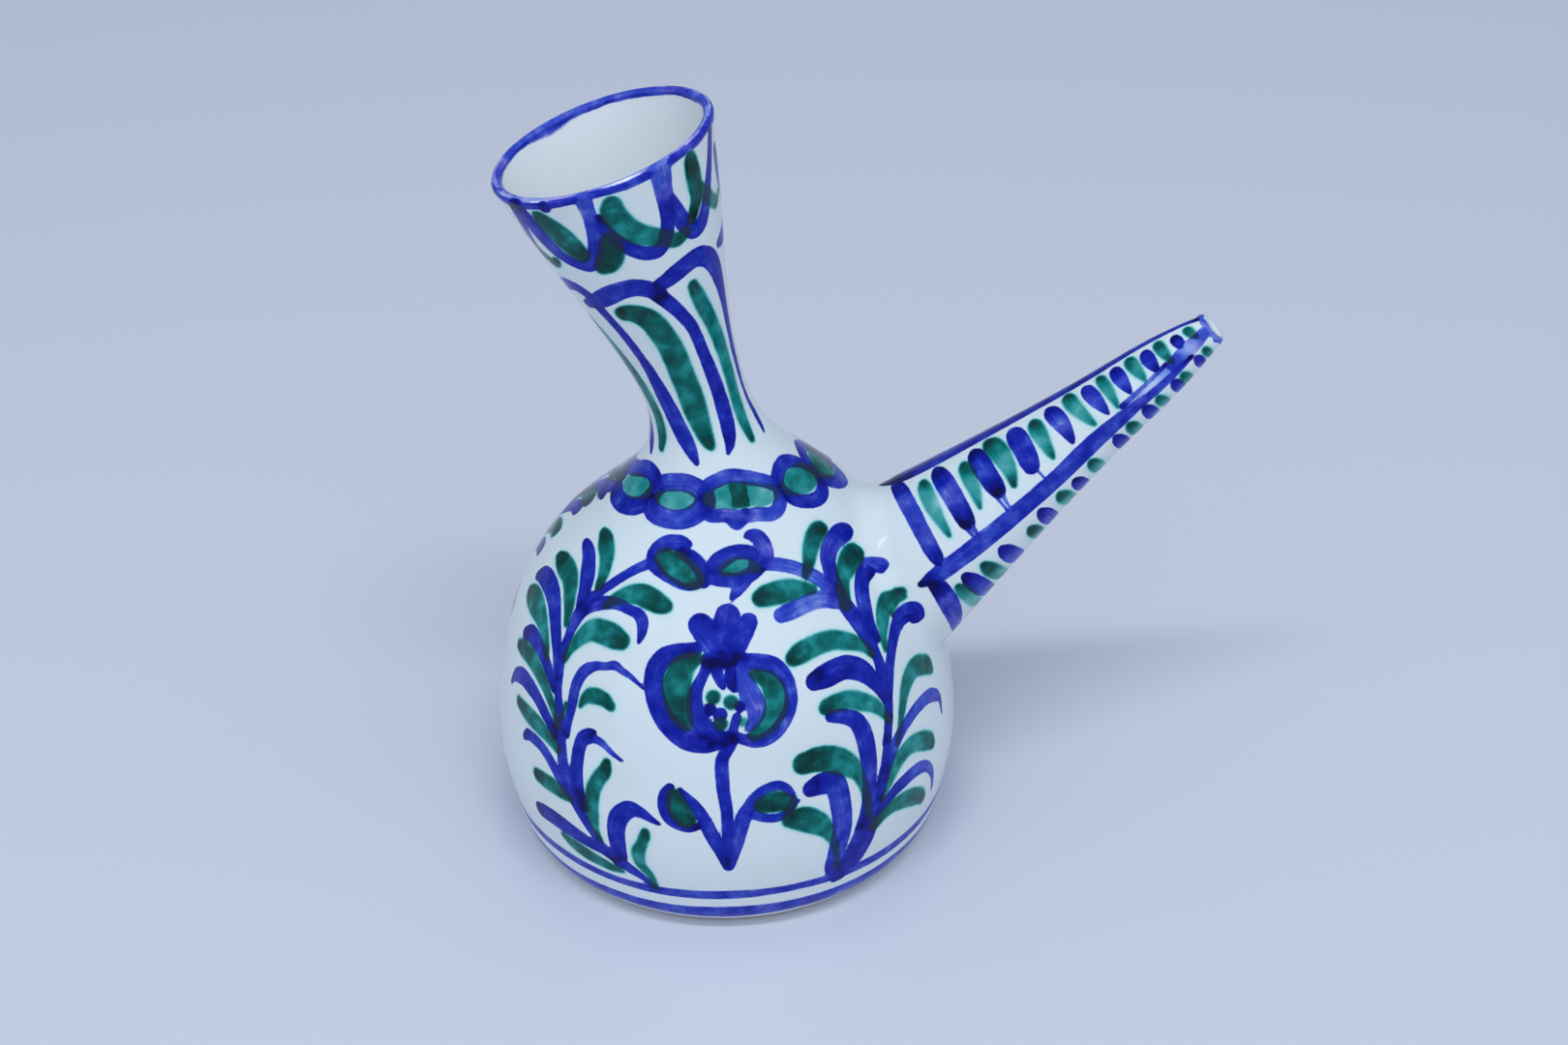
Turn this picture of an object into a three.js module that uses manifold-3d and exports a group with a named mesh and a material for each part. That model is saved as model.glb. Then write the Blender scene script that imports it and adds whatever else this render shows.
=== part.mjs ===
// A porron: a glazed earthenware wine jug with a leaning neck to fill it by and a tapered spout to pour from.
// Millimetres, +Z up. The origin is the centre of the flat foot, and +X points to the spout.
import * as THREE from "three";
import { mergeVertices } from "three/addons/utils/BufferGeometryUtils.js";
import Module from "manifold-3d";

// Outline of body and neck: the outer radius at each height along the axis, before the neck is leaned over
const FOOT_RADIUS = 64.4;
const HEEL_HEIGHT = 5;
const HEEL_RADIUS = 69.4;
const LOW_BELLY_HEIGHT = 14;
const LOW_BELLY_RADIUS = 72.6;
const BELLY_HEIGHT = 30;
const BELLY_RADIUS = 75;
const FLANK_HEIGHT = 62;
const FLANK_RADIUS = 72;
const SHOULDER_HEIGHT = 92;
const SHOULDER_RADIUS = 61.5;
const COLLAR_HEIGHT = 114;
const COLLAR_RADIUS = 44;
const THROAT_HEIGHT = 131;
const THROAT_RADIUS = 26.6;
const LOW_WAIST_HEIGHT = 148;
const LOW_WAIST_RADIUS = 16.7;
const WAIST_HEIGHT = 162;
const WAIST_RADIUS = 15.7;
const FLARE_HEIGHT = 197;
const FLARE_RADIUS = 22.3;
const MOUTH_HEIGHT = 242.7;
const MOUTH_RADIUS = 33.8;

// Walls
const FLOOR_THICKNESS = 7;
const BODY_WALL = 5;
const LIP_WALL = 3;

// Lean of the neck: the axis follows a round bend from the shoulder up, then runs straight to the mouth
const BEND_START = 104;
const BEND_LENGTH = 66;
const NECK_TILT = THREE.MathUtils.degToRad(16.4);

// Spout: its axis leaves the wall below the neck joint and rises away from the body
const SPOUT_BELOW_JOINT = 26.2;
const SPOUT_RISE = THREE.MathUtils.degToRad(42.5);
const SPOUT_LENGTH = 120.5;
const SPOUT_ROOT_RADIUS = 26.9;
const SPOUT_TIP_RADIUS = 5;
const SPOUT_ROOT_WALL = 4;
const SPOUT_TIP_WALL = 2.2;

// Luting: the clay slip that bonds neck and spout to the body
const NECK_JOINT_HEIGHT = 120;
const NECK_LUTING_THICKNESS = 1.4;
const SPOUT_LUTING_REACH = 6;
const JOINT_GAP = 0.3;

// Fineness of the faceted surfaces
const TURNED_SEGMENTS = 64;
const SPOUT_SEGMENTS = 48;
const OUTLINE_STEP = 8;
const LIP_STEPS = 4;
const LUTING_STEPS = 4;
const MERGE_DISTANCE = 0.001;
const MEETING_TOLERANCE = 0.003;

// Glaze
const GLAZE_COLOUR = 0xe9ecee;
const GLAZE_ROUGHNESS = 0.12;

const outline = [
  { height: 0, radius: FOOT_RADIUS },
  { height: HEEL_HEIGHT, radius: HEEL_RADIUS },
  { height: LOW_BELLY_HEIGHT, radius: LOW_BELLY_RADIUS },
  { height: BELLY_HEIGHT, radius: BELLY_RADIUS },
  { height: FLANK_HEIGHT, radius: FLANK_RADIUS },
  { height: SHOULDER_HEIGHT, radius: SHOULDER_RADIUS },
  { height: COLLAR_HEIGHT, radius: COLLAR_RADIUS },
  { height: THROAT_HEIGHT, radius: THROAT_RADIUS },
  { height: LOW_WAIST_HEIGHT, radius: LOW_WAIST_RADIUS },
  { height: WAIST_HEIGHT, radius: WAIST_RADIUS },
  { height: FLARE_HEIGHT, radius: FLARE_RADIUS },
  { height: MOUTH_HEIGHT, radius: MOUTH_RADIUS },
];

// Second derivatives of the smooth curve, a natural cubic spline, through the outline's points
function curvaturesOf(points) {
  const last = points.length - 1;
  const curvatures = new Array(last + 1).fill(0);
  const carried = new Array(last + 1).fill(0);
  for (let i = 1; i < last; i++) {
    const below = points[i].height - points[i - 1].height;
    const above = points[i + 1].height - points[i].height;
    const share = below / (below + above);
    const pivot = share * curvatures[i - 1] + 2;
    const slopeBelow = (points[i].radius - points[i - 1].radius) / below;
    const slopeAbove = (points[i + 1].radius - points[i].radius) / above;
    curvatures[i] = (share - 1) / pivot;
    carried[i] = ((6 * (slopeAbove - slopeBelow)) / (below + above) - share * carried[i - 1]) / pivot;
  }
  for (let i = last - 1; i > 0; i--) {
    curvatures[i] = curvatures[i] * curvatures[i + 1] + carried[i];
  }
  return curvatures;
}

const curvatures = curvaturesOf(outline);

// Outer radius and its slope at a height along the axis
function outerAt(height) {
  let i = 0;
  while (i < outline.length - 2 && height > outline[i + 1].height) i++;
  const span = outline[i + 1].height - outline[i].height;
  const low = (outline[i + 1].height - height) / span;
  const high = (height - outline[i].height) / span;
  const ends = low * outline[i].radius + high * outline[i + 1].radius;
  const swell = (low ** 3 - low) * curvatures[i] + (high ** 3 - high) * curvatures[i + 1];
  const chord = (outline[i + 1].radius - outline[i].radius) / span;
  const turn = (3 * high ** 2 - 1) * curvatures[i + 1] - (3 * low ** 2 - 1) * curvatures[i];
  return { radius: ends + (swell * span ** 2) / 6, slope: chord + (turn * span) / 6 };
}

// Inner radius at a height: the wall is thinner towards the lip, and is measured square to the surface
function innerAt(height) {
  const { radius, slope } = outerAt(height);
  const rise = Math.max(0, (height - NECK_JOINT_HEIGHT) / (MOUTH_HEIGHT - NECK_JOINT_HEIGHT));
  const wall = BODY_WALL + (LIP_WALL - BODY_WALL) * rise;
  return radius - wall * Math.hypot(1, slope);
}

// Heights from one end to the other, both included, evenly spaced at about the outline's step
function heightsBetween(from, to) {
  const steps = Math.ceil(Math.abs(to - from) / OUTLINE_STEP);
  return Array.from({ length: steps + 1 }, (_, i) => from + ((to - from) * i) / steps);
}

function outerPoints(from, to) {
  return heightsBetween(from, to).map((h) => new THREE.Vector2(outerAt(h).radius, h));
}

function innerPoints(from, to) {
  return heightsBetween(from, to).map((h) => new THREE.Vector2(innerAt(h), h));
}

// A solid turned about +Z. A profile off the axis is closed on itself.
function turned(profile, segments) {
  const points = profile[0].x > 0 ? [...profile, profile[0].clone()] : profile;
  return new THREE.LatheGeometry(points, segments).rotateX(Math.PI / 2);
}

// The lean of the neck, as a move of every point from the straight axis to the bent one
const bendRadius = BEND_LENGTH / NECK_TILT;

function leaned(point) {
  const along = point.z - BEND_START;
  if (along <= 0) return point.clone();
  const angle = Math.min(along / bendRadius, NECK_TILT);
  const beyond = Math.max(0, along - BEND_LENGTH);
  const out = bendRadius + point.x;
  return new THREE.Vector3(
    out * Math.cos(angle) - bendRadius - beyond * Math.sin(angle),
    point.y,
    BEND_START + out * Math.sin(angle) + beyond * Math.cos(angle),
  );
}

// The reverse move, for points of the body below the end of the bend
function straightened(point) {
  if (point.z <= BEND_START) return point.clone();
  const angle = Math.atan2(point.z - BEND_START, point.x + bendRadius);
  const out = Math.hypot(point.z - BEND_START, point.x + bendRadius);
  return new THREE.Vector3(out - bendRadius, point.y, BEND_START + angle * bendRadius);
}

function lean(geometry) {
  const position = geometry.getAttribute("position");
  const point = new THREE.Vector3();
  for (let i = 0; i < position.count; i++) {
    const moved = leaned(point.fromBufferAttribute(position, i));
    position.setXYZ(i, moved.x, moved.y, moved.z);
  }
  return geometry;
}

// Joining and cutting of closed meshes
const wasm = await Module();
wasm.setup();

function solidOf(geometry) {
  const bare = new THREE.BufferGeometry();
  bare.setAttribute("position", geometry.getAttribute("position").clone());
  bare.setIndex(geometry.getIndex());
  const merged = mergeVertices(bare, MERGE_DISTANCE);
  const vertProperties = new Float32Array(merged.getAttribute("position").array);
  const triVerts = new Uint32Array(merged.getIndex().array);
  return new wasm.Manifold(new wasm.Mesh({ numProp: 3, vertProperties, triVerts }));
}

function geometryOf(solid) {
  const { vertProperties, triVerts } = solid.getMesh();
  const geometry = new THREE.BufferGeometry();
  geometry.setAttribute("position", new THREE.BufferAttribute(vertProperties, 3));
  geometry.setIndex(new THREE.BufferAttribute(triVerts, 1));
  geometry.computeVertexNormals();
  return geometry;
}

// Spout frame: its local +Z runs from the wall to the tip, and local +X lies on the spout's underside
const spoutPlace = new THREE.Group();
const spoutHeight = NECK_JOINT_HEIGHT - SPOUT_BELOW_JOINT;
spoutPlace.position.set(outerAt(spoutHeight).radius, 0, spoutHeight);
spoutPlace.rotation.y = Math.PI / 2 - SPOUT_RISE;
spoutPlace.updateMatrix();
const intoSpout = spoutPlace.matrix.clone().invert();
const spoutTaper = (SPOUT_TIP_RADIUS - SPOUT_ROOT_RADIUS) / SPOUT_LENGTH;
const spoutWallTaper = (SPOUT_TIP_WALL - SPOUT_ROOT_WALL) / SPOUT_LENGTH;
const spoutReachIn = SPOUT_ROOT_RADIUS + SPOUT_LUTING_REACH;

function spoutRadius(along) {
  return SPOUT_ROOT_RADIUS + spoutTaper * along;
}

function spoutBore(along) {
  return spoutRadius(along) - SPOUT_ROOT_WALL - spoutWallTaper * along;
}

// Body: thrown in one with its floor, open at the neck joint, and pierced where the spout is set on
function makeBody() {
  const shell = turned(
    [
      new THREE.Vector2(0, 0),
      ...outerPoints(0, NECK_JOINT_HEIGHT),
      ...innerPoints(NECK_JOINT_HEIGHT, FLOOR_THICKNESS),
      new THREE.Vector2(0, FLOOR_THICKNESS),
    ],
    TURNED_SEGMENTS,
  );
  const hole = turned(
    [
      new THREE.Vector2(0, -spoutReachIn),
      new THREE.Vector2(spoutBore(-spoutReachIn), -spoutReachIn),
      new THREE.Vector2(spoutBore(spoutReachIn), spoutReachIn),
      new THREE.Vector2(0, spoutReachIn),
    ],
    SPOUT_SEGMENTS,
  );
  hole.applyMatrix4(spoutPlace.matrix);
  return geometryOf(solidOf(lean(shell)).subtract(solidOf(hole)));
}

// Neck: a flared collar, narrow at the waist, with a rounded lip
function makeNeck() {
  const foot = NECK_JOINT_HEIGHT + NECK_LUTING_THICKNESS + 2 * JOINT_GAP;
  const lipRadius = (outerAt(MOUTH_HEIGHT).radius - innerAt(MOUTH_HEIGHT)) / 2;
  const lipHeight = MOUTH_HEIGHT - lipRadius;
  const lipCentre = (outerAt(lipHeight).radius + innerAt(lipHeight)) / 2;
  const lip = [];
  for (let i = 1; i < LIP_STEPS; i++) {
    const angle = (Math.PI * i) / LIP_STEPS;
    const radius = lipCentre + lipRadius * Math.cos(angle);
    lip.push(new THREE.Vector2(radius, lipHeight + lipRadius * Math.sin(angle)));
  }
  const profile = [...outerPoints(foot, lipHeight), ...lip, ...innerPoints(lipHeight, foot)];
  return lean(turned(profile, TURNED_SEGMENTS));
}

// Neck luting: the ring of slip between the body's top edge and the neck, flush with both
function makeNeckLuting() {
  const low = NECK_JOINT_HEIGHT + JOINT_GAP;
  const high = low + NECK_LUTING_THICKNESS;
  return lean(turned([...outerPoints(low, high), ...innerPoints(high, low)], TURNED_SEGMENTS));
}

// Spout: a thrown cone with a narrow bore, its root cut to sit on the body's shoulder
function makeSpout() {
  const lipRadius = SPOUT_TIP_WALL / 2;
  const lipHeight = SPOUT_LENGTH - lipRadius;
  const lip = [];
  for (let i = 1; i < LIP_STEPS; i++) {
    const angle = (Math.PI * i) / LIP_STEPS;
    const radius = (spoutRadius(lipHeight) + spoutBore(lipHeight)) / 2 + lipRadius * Math.cos(angle);
    lip.push(new THREE.Vector2(radius, lipHeight + lipRadius * Math.sin(angle)));
  }
  const cone = turned(
    [
      new THREE.Vector2(spoutRadius(-spoutReachIn), -spoutReachIn),
      new THREE.Vector2(spoutRadius(lipHeight), lipHeight),
      ...lip,
      new THREE.Vector2(spoutBore(lipHeight), lipHeight),
      new THREE.Vector2(spoutBore(-spoutReachIn), -spoutReachIn),
    ],
    SPOUT_SEGMENTS,
  );
  const seat = turned(
    [
      new THREE.Vector2(0, 0),
      ...outerPoints(0, THROAT_HEIGHT).map((p) => new THREE.Vector2(p.x + JOINT_GAP, p.y)),
      new THREE.Vector2(0, THROAT_HEIGHT),
    ],
    TURNED_SEGMENTS,
  );
  lean(seat).applyMatrix4(intoSpout);
  return geometryOf(solidOf(cone).subtract(solidOf(seat)));
}

// How far a point of the spout's frame lies outside the body's surface, in the straightened body
function outsideBody(point) {
  const straight = straightened(point.clone().applyMatrix4(spoutPlace.matrix));
  return Math.hypot(straight.x, straight.y) - outerAt(straight.z).radius;
}

// A point of the spout's frame moved onto the body's surface, raised by the joint's gap
function ontoBody(point) {
  const straight = straightened(point.clone().applyMatrix4(spoutPlace.matrix));
  const radius = outerAt(straight.z).radius + JOINT_GAP;
  const scale = radius / Math.hypot(straight.x, straight.y);
  const moved = leaned(new THREE.Vector3(straight.x * scale, straight.y * scale, straight.z));
  return moved.applyMatrix4(intoSpout);
}

// A point on the spout's outer surface, raised by the joint's gap
function onSpout(turn, along) {
  const radius = spoutRadius(along) + JOINT_GAP;
  return new THREE.Vector3(radius * Math.cos(turn), radius * Math.sin(turn), along);
}

// Where the spout's surface meets the body on one line from root to tip, by halving
function meetingAlong(turn) {
  let inside = -spoutReachIn;
  let outside = SPOUT_LENGTH;
  while (outside - inside > MEETING_TOLERANCE) {
    const middle = (inside + outside) / 2;
    if (outsideBody(onSpout(turn, middle)) > JOINT_GAP) outside = middle;
    else inside = middle;
  }
  return outside;
}

// Spout luting: the fillet of slip round the spout's root, smoothed out over the body and up the spout
function makeSpoutLuting() {
  const rows = [];
  for (let j = 0; j < SPOUT_SEGMENTS; j++) {
    const turn = (2 * Math.PI * j) / SPOUT_SEGMENTS;
    const along = meetingAlong(turn);
    const corner = onSpout(turn, along);
    const onCone = onSpout(turn, along + SPOUT_LUTING_REACH);
    const away = new THREE.Vector3(Math.cos(turn), Math.sin(turn), 0);
    const onWall = ontoBody(corner.clone().addScaledVector(away, SPOUT_LUTING_REACH));
    const row = [corner, onCone];
    for (let i = 1; i < LUTING_STEPS; i++) {
      row.push(new THREE.QuadraticBezierCurve3(onCone, corner, onWall).getPoint(i / LUTING_STEPS));
    }
    row.push(onWall);
    rows.push(row);
  }
  return ringOf(rows);
}

// A closed ring through equal rows of points, each row one section of the ring
function ringOf(rows) {
  const size = rows[0].length;
  const index = [];
  rows.forEach((_, j) => {
    const next = (j + 1) % rows.length;
    for (let i = 0; i < size; i++) {
      const across = (i + 1) % size;
      index.push(j * size + i, j * size + across, next * size + across);
      index.push(j * size + i, next * size + across, next * size + i);
    }
  });
  const geometry = new THREE.BufferGeometry().setFromPoints(rows.flat());
  geometry.setIndex(index);
  geometry.computeVertexNormals();
  return geometry;
}

// Glazed white ware, the same on every piece, as its own material for each
function glazed() {
  return new THREE.MeshStandardMaterial({ color: GLAZE_COLOUR, roughness: GLAZE_ROUGHNESS, metalness: 0 });
}

function namedMesh(name, geometry) {
  const mesh = new THREE.Mesh(geometry, glazed());
  mesh.name = name;
  return mesh;
}

const porron = new THREE.Group();
porron.add(namedMesh("body", makeBody()));
porron.add(namedMesh("neck_luting", makeNeckLuting()));
porron.add(namedMesh("neck", makeNeck()));
spoutPlace.add(namedMesh("spout_luting", makeSpoutLuting()));
spoutPlace.add(namedMesh("spout", makeSpout()));
porron.add(spoutPlace);

export default porron;
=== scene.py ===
"""Looks of a painted porron: white tin-glazed ware with brushed cobalt and copper-green leaves.

Lengths are in millimetres until a mesh is made. Body and neck are drawn on a chart: the angle round the axis
(0 degrees faces the camera, 90 the spout) and the height along it. The spout has its own chart: the angle
round its axis from the upper ridge, and the distance along it from the wall.
"""

import bpy
import numpy as np
from mathutils import Matrix, Vector


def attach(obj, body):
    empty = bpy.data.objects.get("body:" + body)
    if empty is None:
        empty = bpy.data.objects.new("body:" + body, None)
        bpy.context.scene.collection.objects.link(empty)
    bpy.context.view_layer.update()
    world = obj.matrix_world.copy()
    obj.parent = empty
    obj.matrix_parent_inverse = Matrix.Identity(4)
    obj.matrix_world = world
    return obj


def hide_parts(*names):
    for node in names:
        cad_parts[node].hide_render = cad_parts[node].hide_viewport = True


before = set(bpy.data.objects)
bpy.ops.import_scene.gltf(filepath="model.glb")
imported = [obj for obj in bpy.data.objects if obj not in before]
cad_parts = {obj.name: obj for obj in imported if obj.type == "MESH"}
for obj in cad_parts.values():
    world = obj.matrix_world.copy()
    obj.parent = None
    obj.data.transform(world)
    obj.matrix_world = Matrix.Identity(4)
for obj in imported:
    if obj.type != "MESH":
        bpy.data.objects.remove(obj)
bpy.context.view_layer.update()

MM = 0.001
random = np.random.default_rng(7)

# Outline of body and neck: height along the axis and outer radius there, before the neck is leaned over
OUTLINE = np.array(
    [
        (0, 64.4),
        (5, 69.4),
        (14, 72.6),
        (30, 75),
        (62, 72),
        (92, 61.5),
        (114, 44),
        (131, 26.6),
        (148, 16.7),
        (162, 15.7),
        (197, 22.3),
        (242.7, 33.8),
    ]
)
MOUTH_HEIGHT = OUTLINE[-1, 0]

# Walls, joints and the lean of the neck
FLOOR_THICKNESS = 7
BODY_WALL = 5
LIP_WALL = 3
NECK_JOINT_HEIGHT = 120
NECK_LUTING_THICKNESS = 1.4
BEND_START = 104
BEND_LENGTH = 66
NECK_TILT = np.radians(16.4)
BEND_RADIUS = BEND_LENGTH / NECK_TILT

# Spout
SPOUT_HEIGHT = 93.8
SPOUT_RISE = np.radians(42.5)
SPOUT_LENGTH = 120.5
SPOUT_TIP_RADIUS = 5
SPOUT_ROOT_WALL = 4
SPOUT_TIP_WALL = 2.2
SPOUT_WALL_TAPER = (SPOUT_TIP_WALL - SPOUT_ROOT_WALL) / SPOUT_LENGTH
SPOUT_SINK = 0.6

# Outline of the spout, slimmer than a cone below its middle: distance along its axis from the wall, and
# outer radius there
SPOUT_OUTLINE = np.array(
    [
        (-33, 32.3),
        (0, 26.1),
        (30, 20.3),
        (60, 14.9),
        (85, 11.3),
        (103, 8.9),
        (SPOUT_LENGTH, SPOUT_TIP_RADIUS),
    ]
)
HOLE_REACH = 33

# Fillet of slip round the spout's root: wide over the top, narrow below
FILLET_REACH = 5.2
FILLET_SPREAD = 3.6
FILLET_STEPS = 14
FILLET_SINK = 0.03
# The body's paint ends sooner by this much for each millimetre up the fillet
FILLET_FADE = 0.3

# Fineness of the meshes
BODY_SEGMENTS = 576
NECK_SEGMENTS = 360
SPOUT_SEGMENTS = 256
HOLE_SEGMENTS = 96
PAINTED_STEP = 0.85
SPOUT_STEP = 0.55
INNER_STEP = 4
LIP_STEPS = 12
ARC_SAMPLES = 2000
HALVINGS = 24

# Foot: radius and height of the rings of the flat underside, then of the rounded edge up to the outline
UNDERSIDE_RINGS = ((15, 0), (35, 0), (54, 0), (60, 0), (62.1, 0), (63.3, 0.02), (64.2, 0.16), (64.8, 0.42))
FOOT_EDGE_HEIGHT = 0.9
BARE_CLAY_HEIGHT = 0.54
# Radii of the rings of the floor inside
FLOOR_RINGS = (62, 56, 42, 24, 10)


# Shapes


def spline_curvatures(points):
    """Second derivatives of the natural cubic spline through an outline's points."""
    place, radius = points.T
    step = np.diff(place)
    chord = np.diff(radius) / step
    system = np.eye(len(points))
    right = np.zeros(len(points))
    for i in range(1, len(points) - 1):
        system[i, i - 1 : i + 2] = step[i - 1] / 6, (step[i - 1] + step[i]) / 3, step[i] / 6
        right[i] = chord[i] - chord[i - 1]
    return np.linalg.solve(system, right)


OUTLINE_CURVATURES = spline_curvatures(OUTLINE)
SPOUT_CURVATURES = spline_curvatures(SPOUT_OUTLINE)


def spline_at(outline, curvatures, place):
    """Radius and slope of the spline at places along it."""
    points = outline[:, 0]
    place = np.clip(place, points[0], points[-1])
    i = np.clip(np.searchsorted(points, place, side="right") - 1, 0, len(points) - 2)
    span = points[i + 1] - points[i]
    low = (points[i + 1] - place) / span
    high = (place - points[i]) / span
    radius_low, radius_high = outline[i, 1], outline[i + 1, 1]
    curve_low, curve_high = curvatures[i], curvatures[i + 1]
    swell = (low**3 - low) * curve_low + (high**3 - high) * curve_high
    turn = (3 * high**2 - 1) * curve_high - (3 * low**2 - 1) * curve_low
    radius = low * radius_low + high * radius_high + swell * span**2 / 6
    slope = (radius_high - radius_low) / span + turn * span / 6
    return radius, slope


def outer_at(height):
    """Outer radius of body and neck, and its slope, at heights along the axis."""
    return spline_at(OUTLINE, OUTLINE_CURVATURES, height)


def inner_at(height):
    """Inner radius: the wall is thinner towards the lip, and is measured square to the surface."""
    radius, slope = outer_at(height)
    rise = np.maximum(0, (height - NECK_JOINT_HEIGHT) / (MOUTH_HEIGHT - NECK_JOINT_HEIGHT))
    wall = BODY_WALL + (LIP_WALL - BODY_WALL) * rise
    return radius - wall * np.hypot(1, slope)


def leaned(points):
    """Points of the straight jug moved onto its bent axis."""
    x, y, z = np.moveaxis(np.asarray(points, float), -1, 0)
    along = np.maximum(z - BEND_START, 0)
    angle = np.minimum(along / BEND_RADIUS, NECK_TILT)
    beyond = np.maximum(along - BEND_LENGTH, 0)
    out = BEND_RADIUS + x
    bent_x = out * np.cos(angle) - BEND_RADIUS - beyond * np.sin(angle)
    bent_z = np.minimum(z, BEND_START) + out * np.sin(angle) + beyond * np.cos(angle)
    return np.stack([bent_x, y, bent_z], -1)


def straightened(points):
    """The reverse move, for points below the end of the bend."""
    x, y, z = np.moveaxis(np.asarray(points, float), -1, 0)
    above = np.maximum(z - BEND_START, 0)
    angle = np.arctan2(above, x + BEND_RADIUS)
    out = np.hypot(above, x + BEND_RADIUS) - BEND_RADIUS
    height = np.where(z > BEND_START, BEND_START + angle * BEND_RADIUS, z)
    return np.stack([np.where(z > BEND_START, out, x), y, height], -1)


def body_normals(angle, height):
    """Outward normals of the outer surface at chart places."""
    turn = np.radians(angle)
    radius, slope = outer_at(height)
    tilt = np.clip((height - BEND_START) / BEND_RADIUS, 0, NECK_TILT)
    bending = (height > BEND_START) & (height < BEND_START + BEND_LENGTH)
    stretch = np.where(bending, 1 + radius * np.sin(turn) / BEND_RADIUS, 1)
    across = stretch * np.sin(turn)
    normal = np.stack(
        [
            across * np.cos(tilt) + slope * np.sin(tilt),
            -stretch * np.cos(turn),
            across * np.sin(tilt) - slope * np.cos(tilt),
        ],
        -1,
    )
    return normal / np.linalg.norm(normal, axis=-1, keepdims=True)


def angles_round(segments):
    return np.arange(segments) * 360 / segments - 180


def turned_rings(profile, segments):
    """Rings of points for a profile of (radius, height) rows turned about the axis, then leaned."""
    turn = np.radians(angles_round(segments))
    radius, height = (column[:, None] for column in np.asarray(profile, float).T)
    level = np.broadcast_to(height, (len(profile), segments))
    return leaned(np.stack([radius * np.sin(turn), -radius * np.cos(turn), level], -1))


def painted_heights(low, high):
    """Heights from low to high, spaced evenly along the curved outer surface."""
    fine = np.linspace(low, high, ARC_SAMPLES)
    length = np.concatenate([[0], np.cumsum(np.hypot(np.diff(fine), np.diff(outer_at(fine)[0])))])
    steps = int(np.ceil(length[-1] / PAINTED_STEP))
    return np.interp(np.linspace(0, length[-1], steps + 1), length, fine)


def even_heights(from_height, to_height, step):
    return np.linspace(from_height, to_height, int(np.ceil(abs(to_height - from_height) / step)) + 1)


def lip_profile(outer, inner, base):
    """Half-round lip between two radii: rows of (radius, height), and the arc length to each."""
    round_angle = np.pi * np.arange(1, LIP_STEPS) / LIP_STEPS
    size = (outer - inner) / 2
    radius = (outer + inner) / 2 + size * np.cos(round_angle)
    return np.stack([radius, base + size * np.sin(round_angle)], -1), size * round_angle


# Spout frame
SPOUT_ROOT = np.array([outer_at(SPOUT_HEIGHT)[0], 0, SPOUT_HEIGHT])
SPOUT_AXIS = np.array([np.cos(SPOUT_RISE), 0, np.sin(SPOUT_RISE)])
SPOUT_UP = np.array([-np.sin(SPOUT_RISE), 0, np.cos(SPOUT_RISE)])
SPOUT_SIDE = np.array([0, -1, 0])


def spout_at(along):
    """Outer radius of the spout, and its slope, at distances along its axis."""
    return spline_at(SPOUT_OUTLINE, SPOUT_CURVATURES, along)


def spout_radius(along):
    return spout_at(along)[0]


def spout_bore(along):
    return spout_radius(along) - SPOUT_ROOT_WALL - SPOUT_WALL_TAPER * along


def spout_outward(angle):
    turn = np.radians(angle)[..., None]
    return np.cos(turn) * SPOUT_UP + np.sin(turn) * SPOUT_SIDE


def spout_points(angle, along, radius):
    return SPOUT_ROOT + along[..., None] * SPOUT_AXIS + radius[..., None] * spout_outward(angle)


def spout_places(points):
    """Chart places, angle and distance along, of points on or near the spout."""
    offset = points - SPOUT_ROOT
    angle = np.degrees(np.arctan2(offset @ SPOUT_SIDE, offset @ SPOUT_UP))
    return angle, offset @ SPOUT_AXIS


def outside_body(points):
    straight = straightened(points)
    return np.hypot(straight[..., 0], straight[..., 1]) - outer_at(straight[..., 2])[0]


def onto_body(points):
    """Points moved level onto the body's outer surface."""
    straight = straightened(points)
    scale = outer_at(straight[..., 2])[0] / np.hypot(straight[..., 0], straight[..., 1])
    return leaned(np.stack([straight[..., 0] * scale, straight[..., 1] * scale, straight[..., 2]], -1))


def meeting_along(angle, radius_at):
    """Where a cone on the spout's axis meets the body's surface, for each angle round it, by halving."""
    inside = np.full(len(angle), -float(HOLE_REACH))
    outside = np.full(len(angle), float(HOLE_REACH))
    for _ in range(HALVINGS):
        middle = (inside + outside) / 2
        clear = outside_body(spout_points(angle, middle, radius_at(middle))) > 0
        outside = np.where(clear, middle, outside)
        inside = np.where(clear, inside, middle)
    return outside


# Meshes


def grid_faces(rows, segments, joined):
    """Quads between rings of points, facing outwards where rings rise. The last ring may join the first."""
    last = rows if joined else rows - 1
    row = np.arange(last)[:, None]
    column = np.arange(segments)[None, :]
    upper = (row + 1) % rows
    beside = (column + 1) % segments
    corners = (
        row * segments + column,
        row * segments + beside,
        upper * segments + beside,
        upper * segments + column,
    )
    return np.stack([np.broadcast_to(c, (last, segments)) for c in corners], -1).reshape(-1, 4).tolist()


def make_piece(name, points, faces):
    mesh = bpy.data.meshes.new(name)
    mesh.from_pydata((np.asarray(points) * MM).tolist(), [], faces)
    mesh.polygons.foreach_set("use_smooth", np.ones(len(mesh.polygons), bool))
    mesh.update()
    piece = bpy.data.objects.new(name, mesh)
    bpy.context.scene.collection.objects.link(piece)
    return piece


def ring_piece(name, rings):
    """A closed piece from rings of points, of which the last joins the first."""
    rows, segments = rings.shape[:2]
    return make_piece(name, rings.reshape(-1, 3), grid_faces(rows, segments, joined=True))


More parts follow.
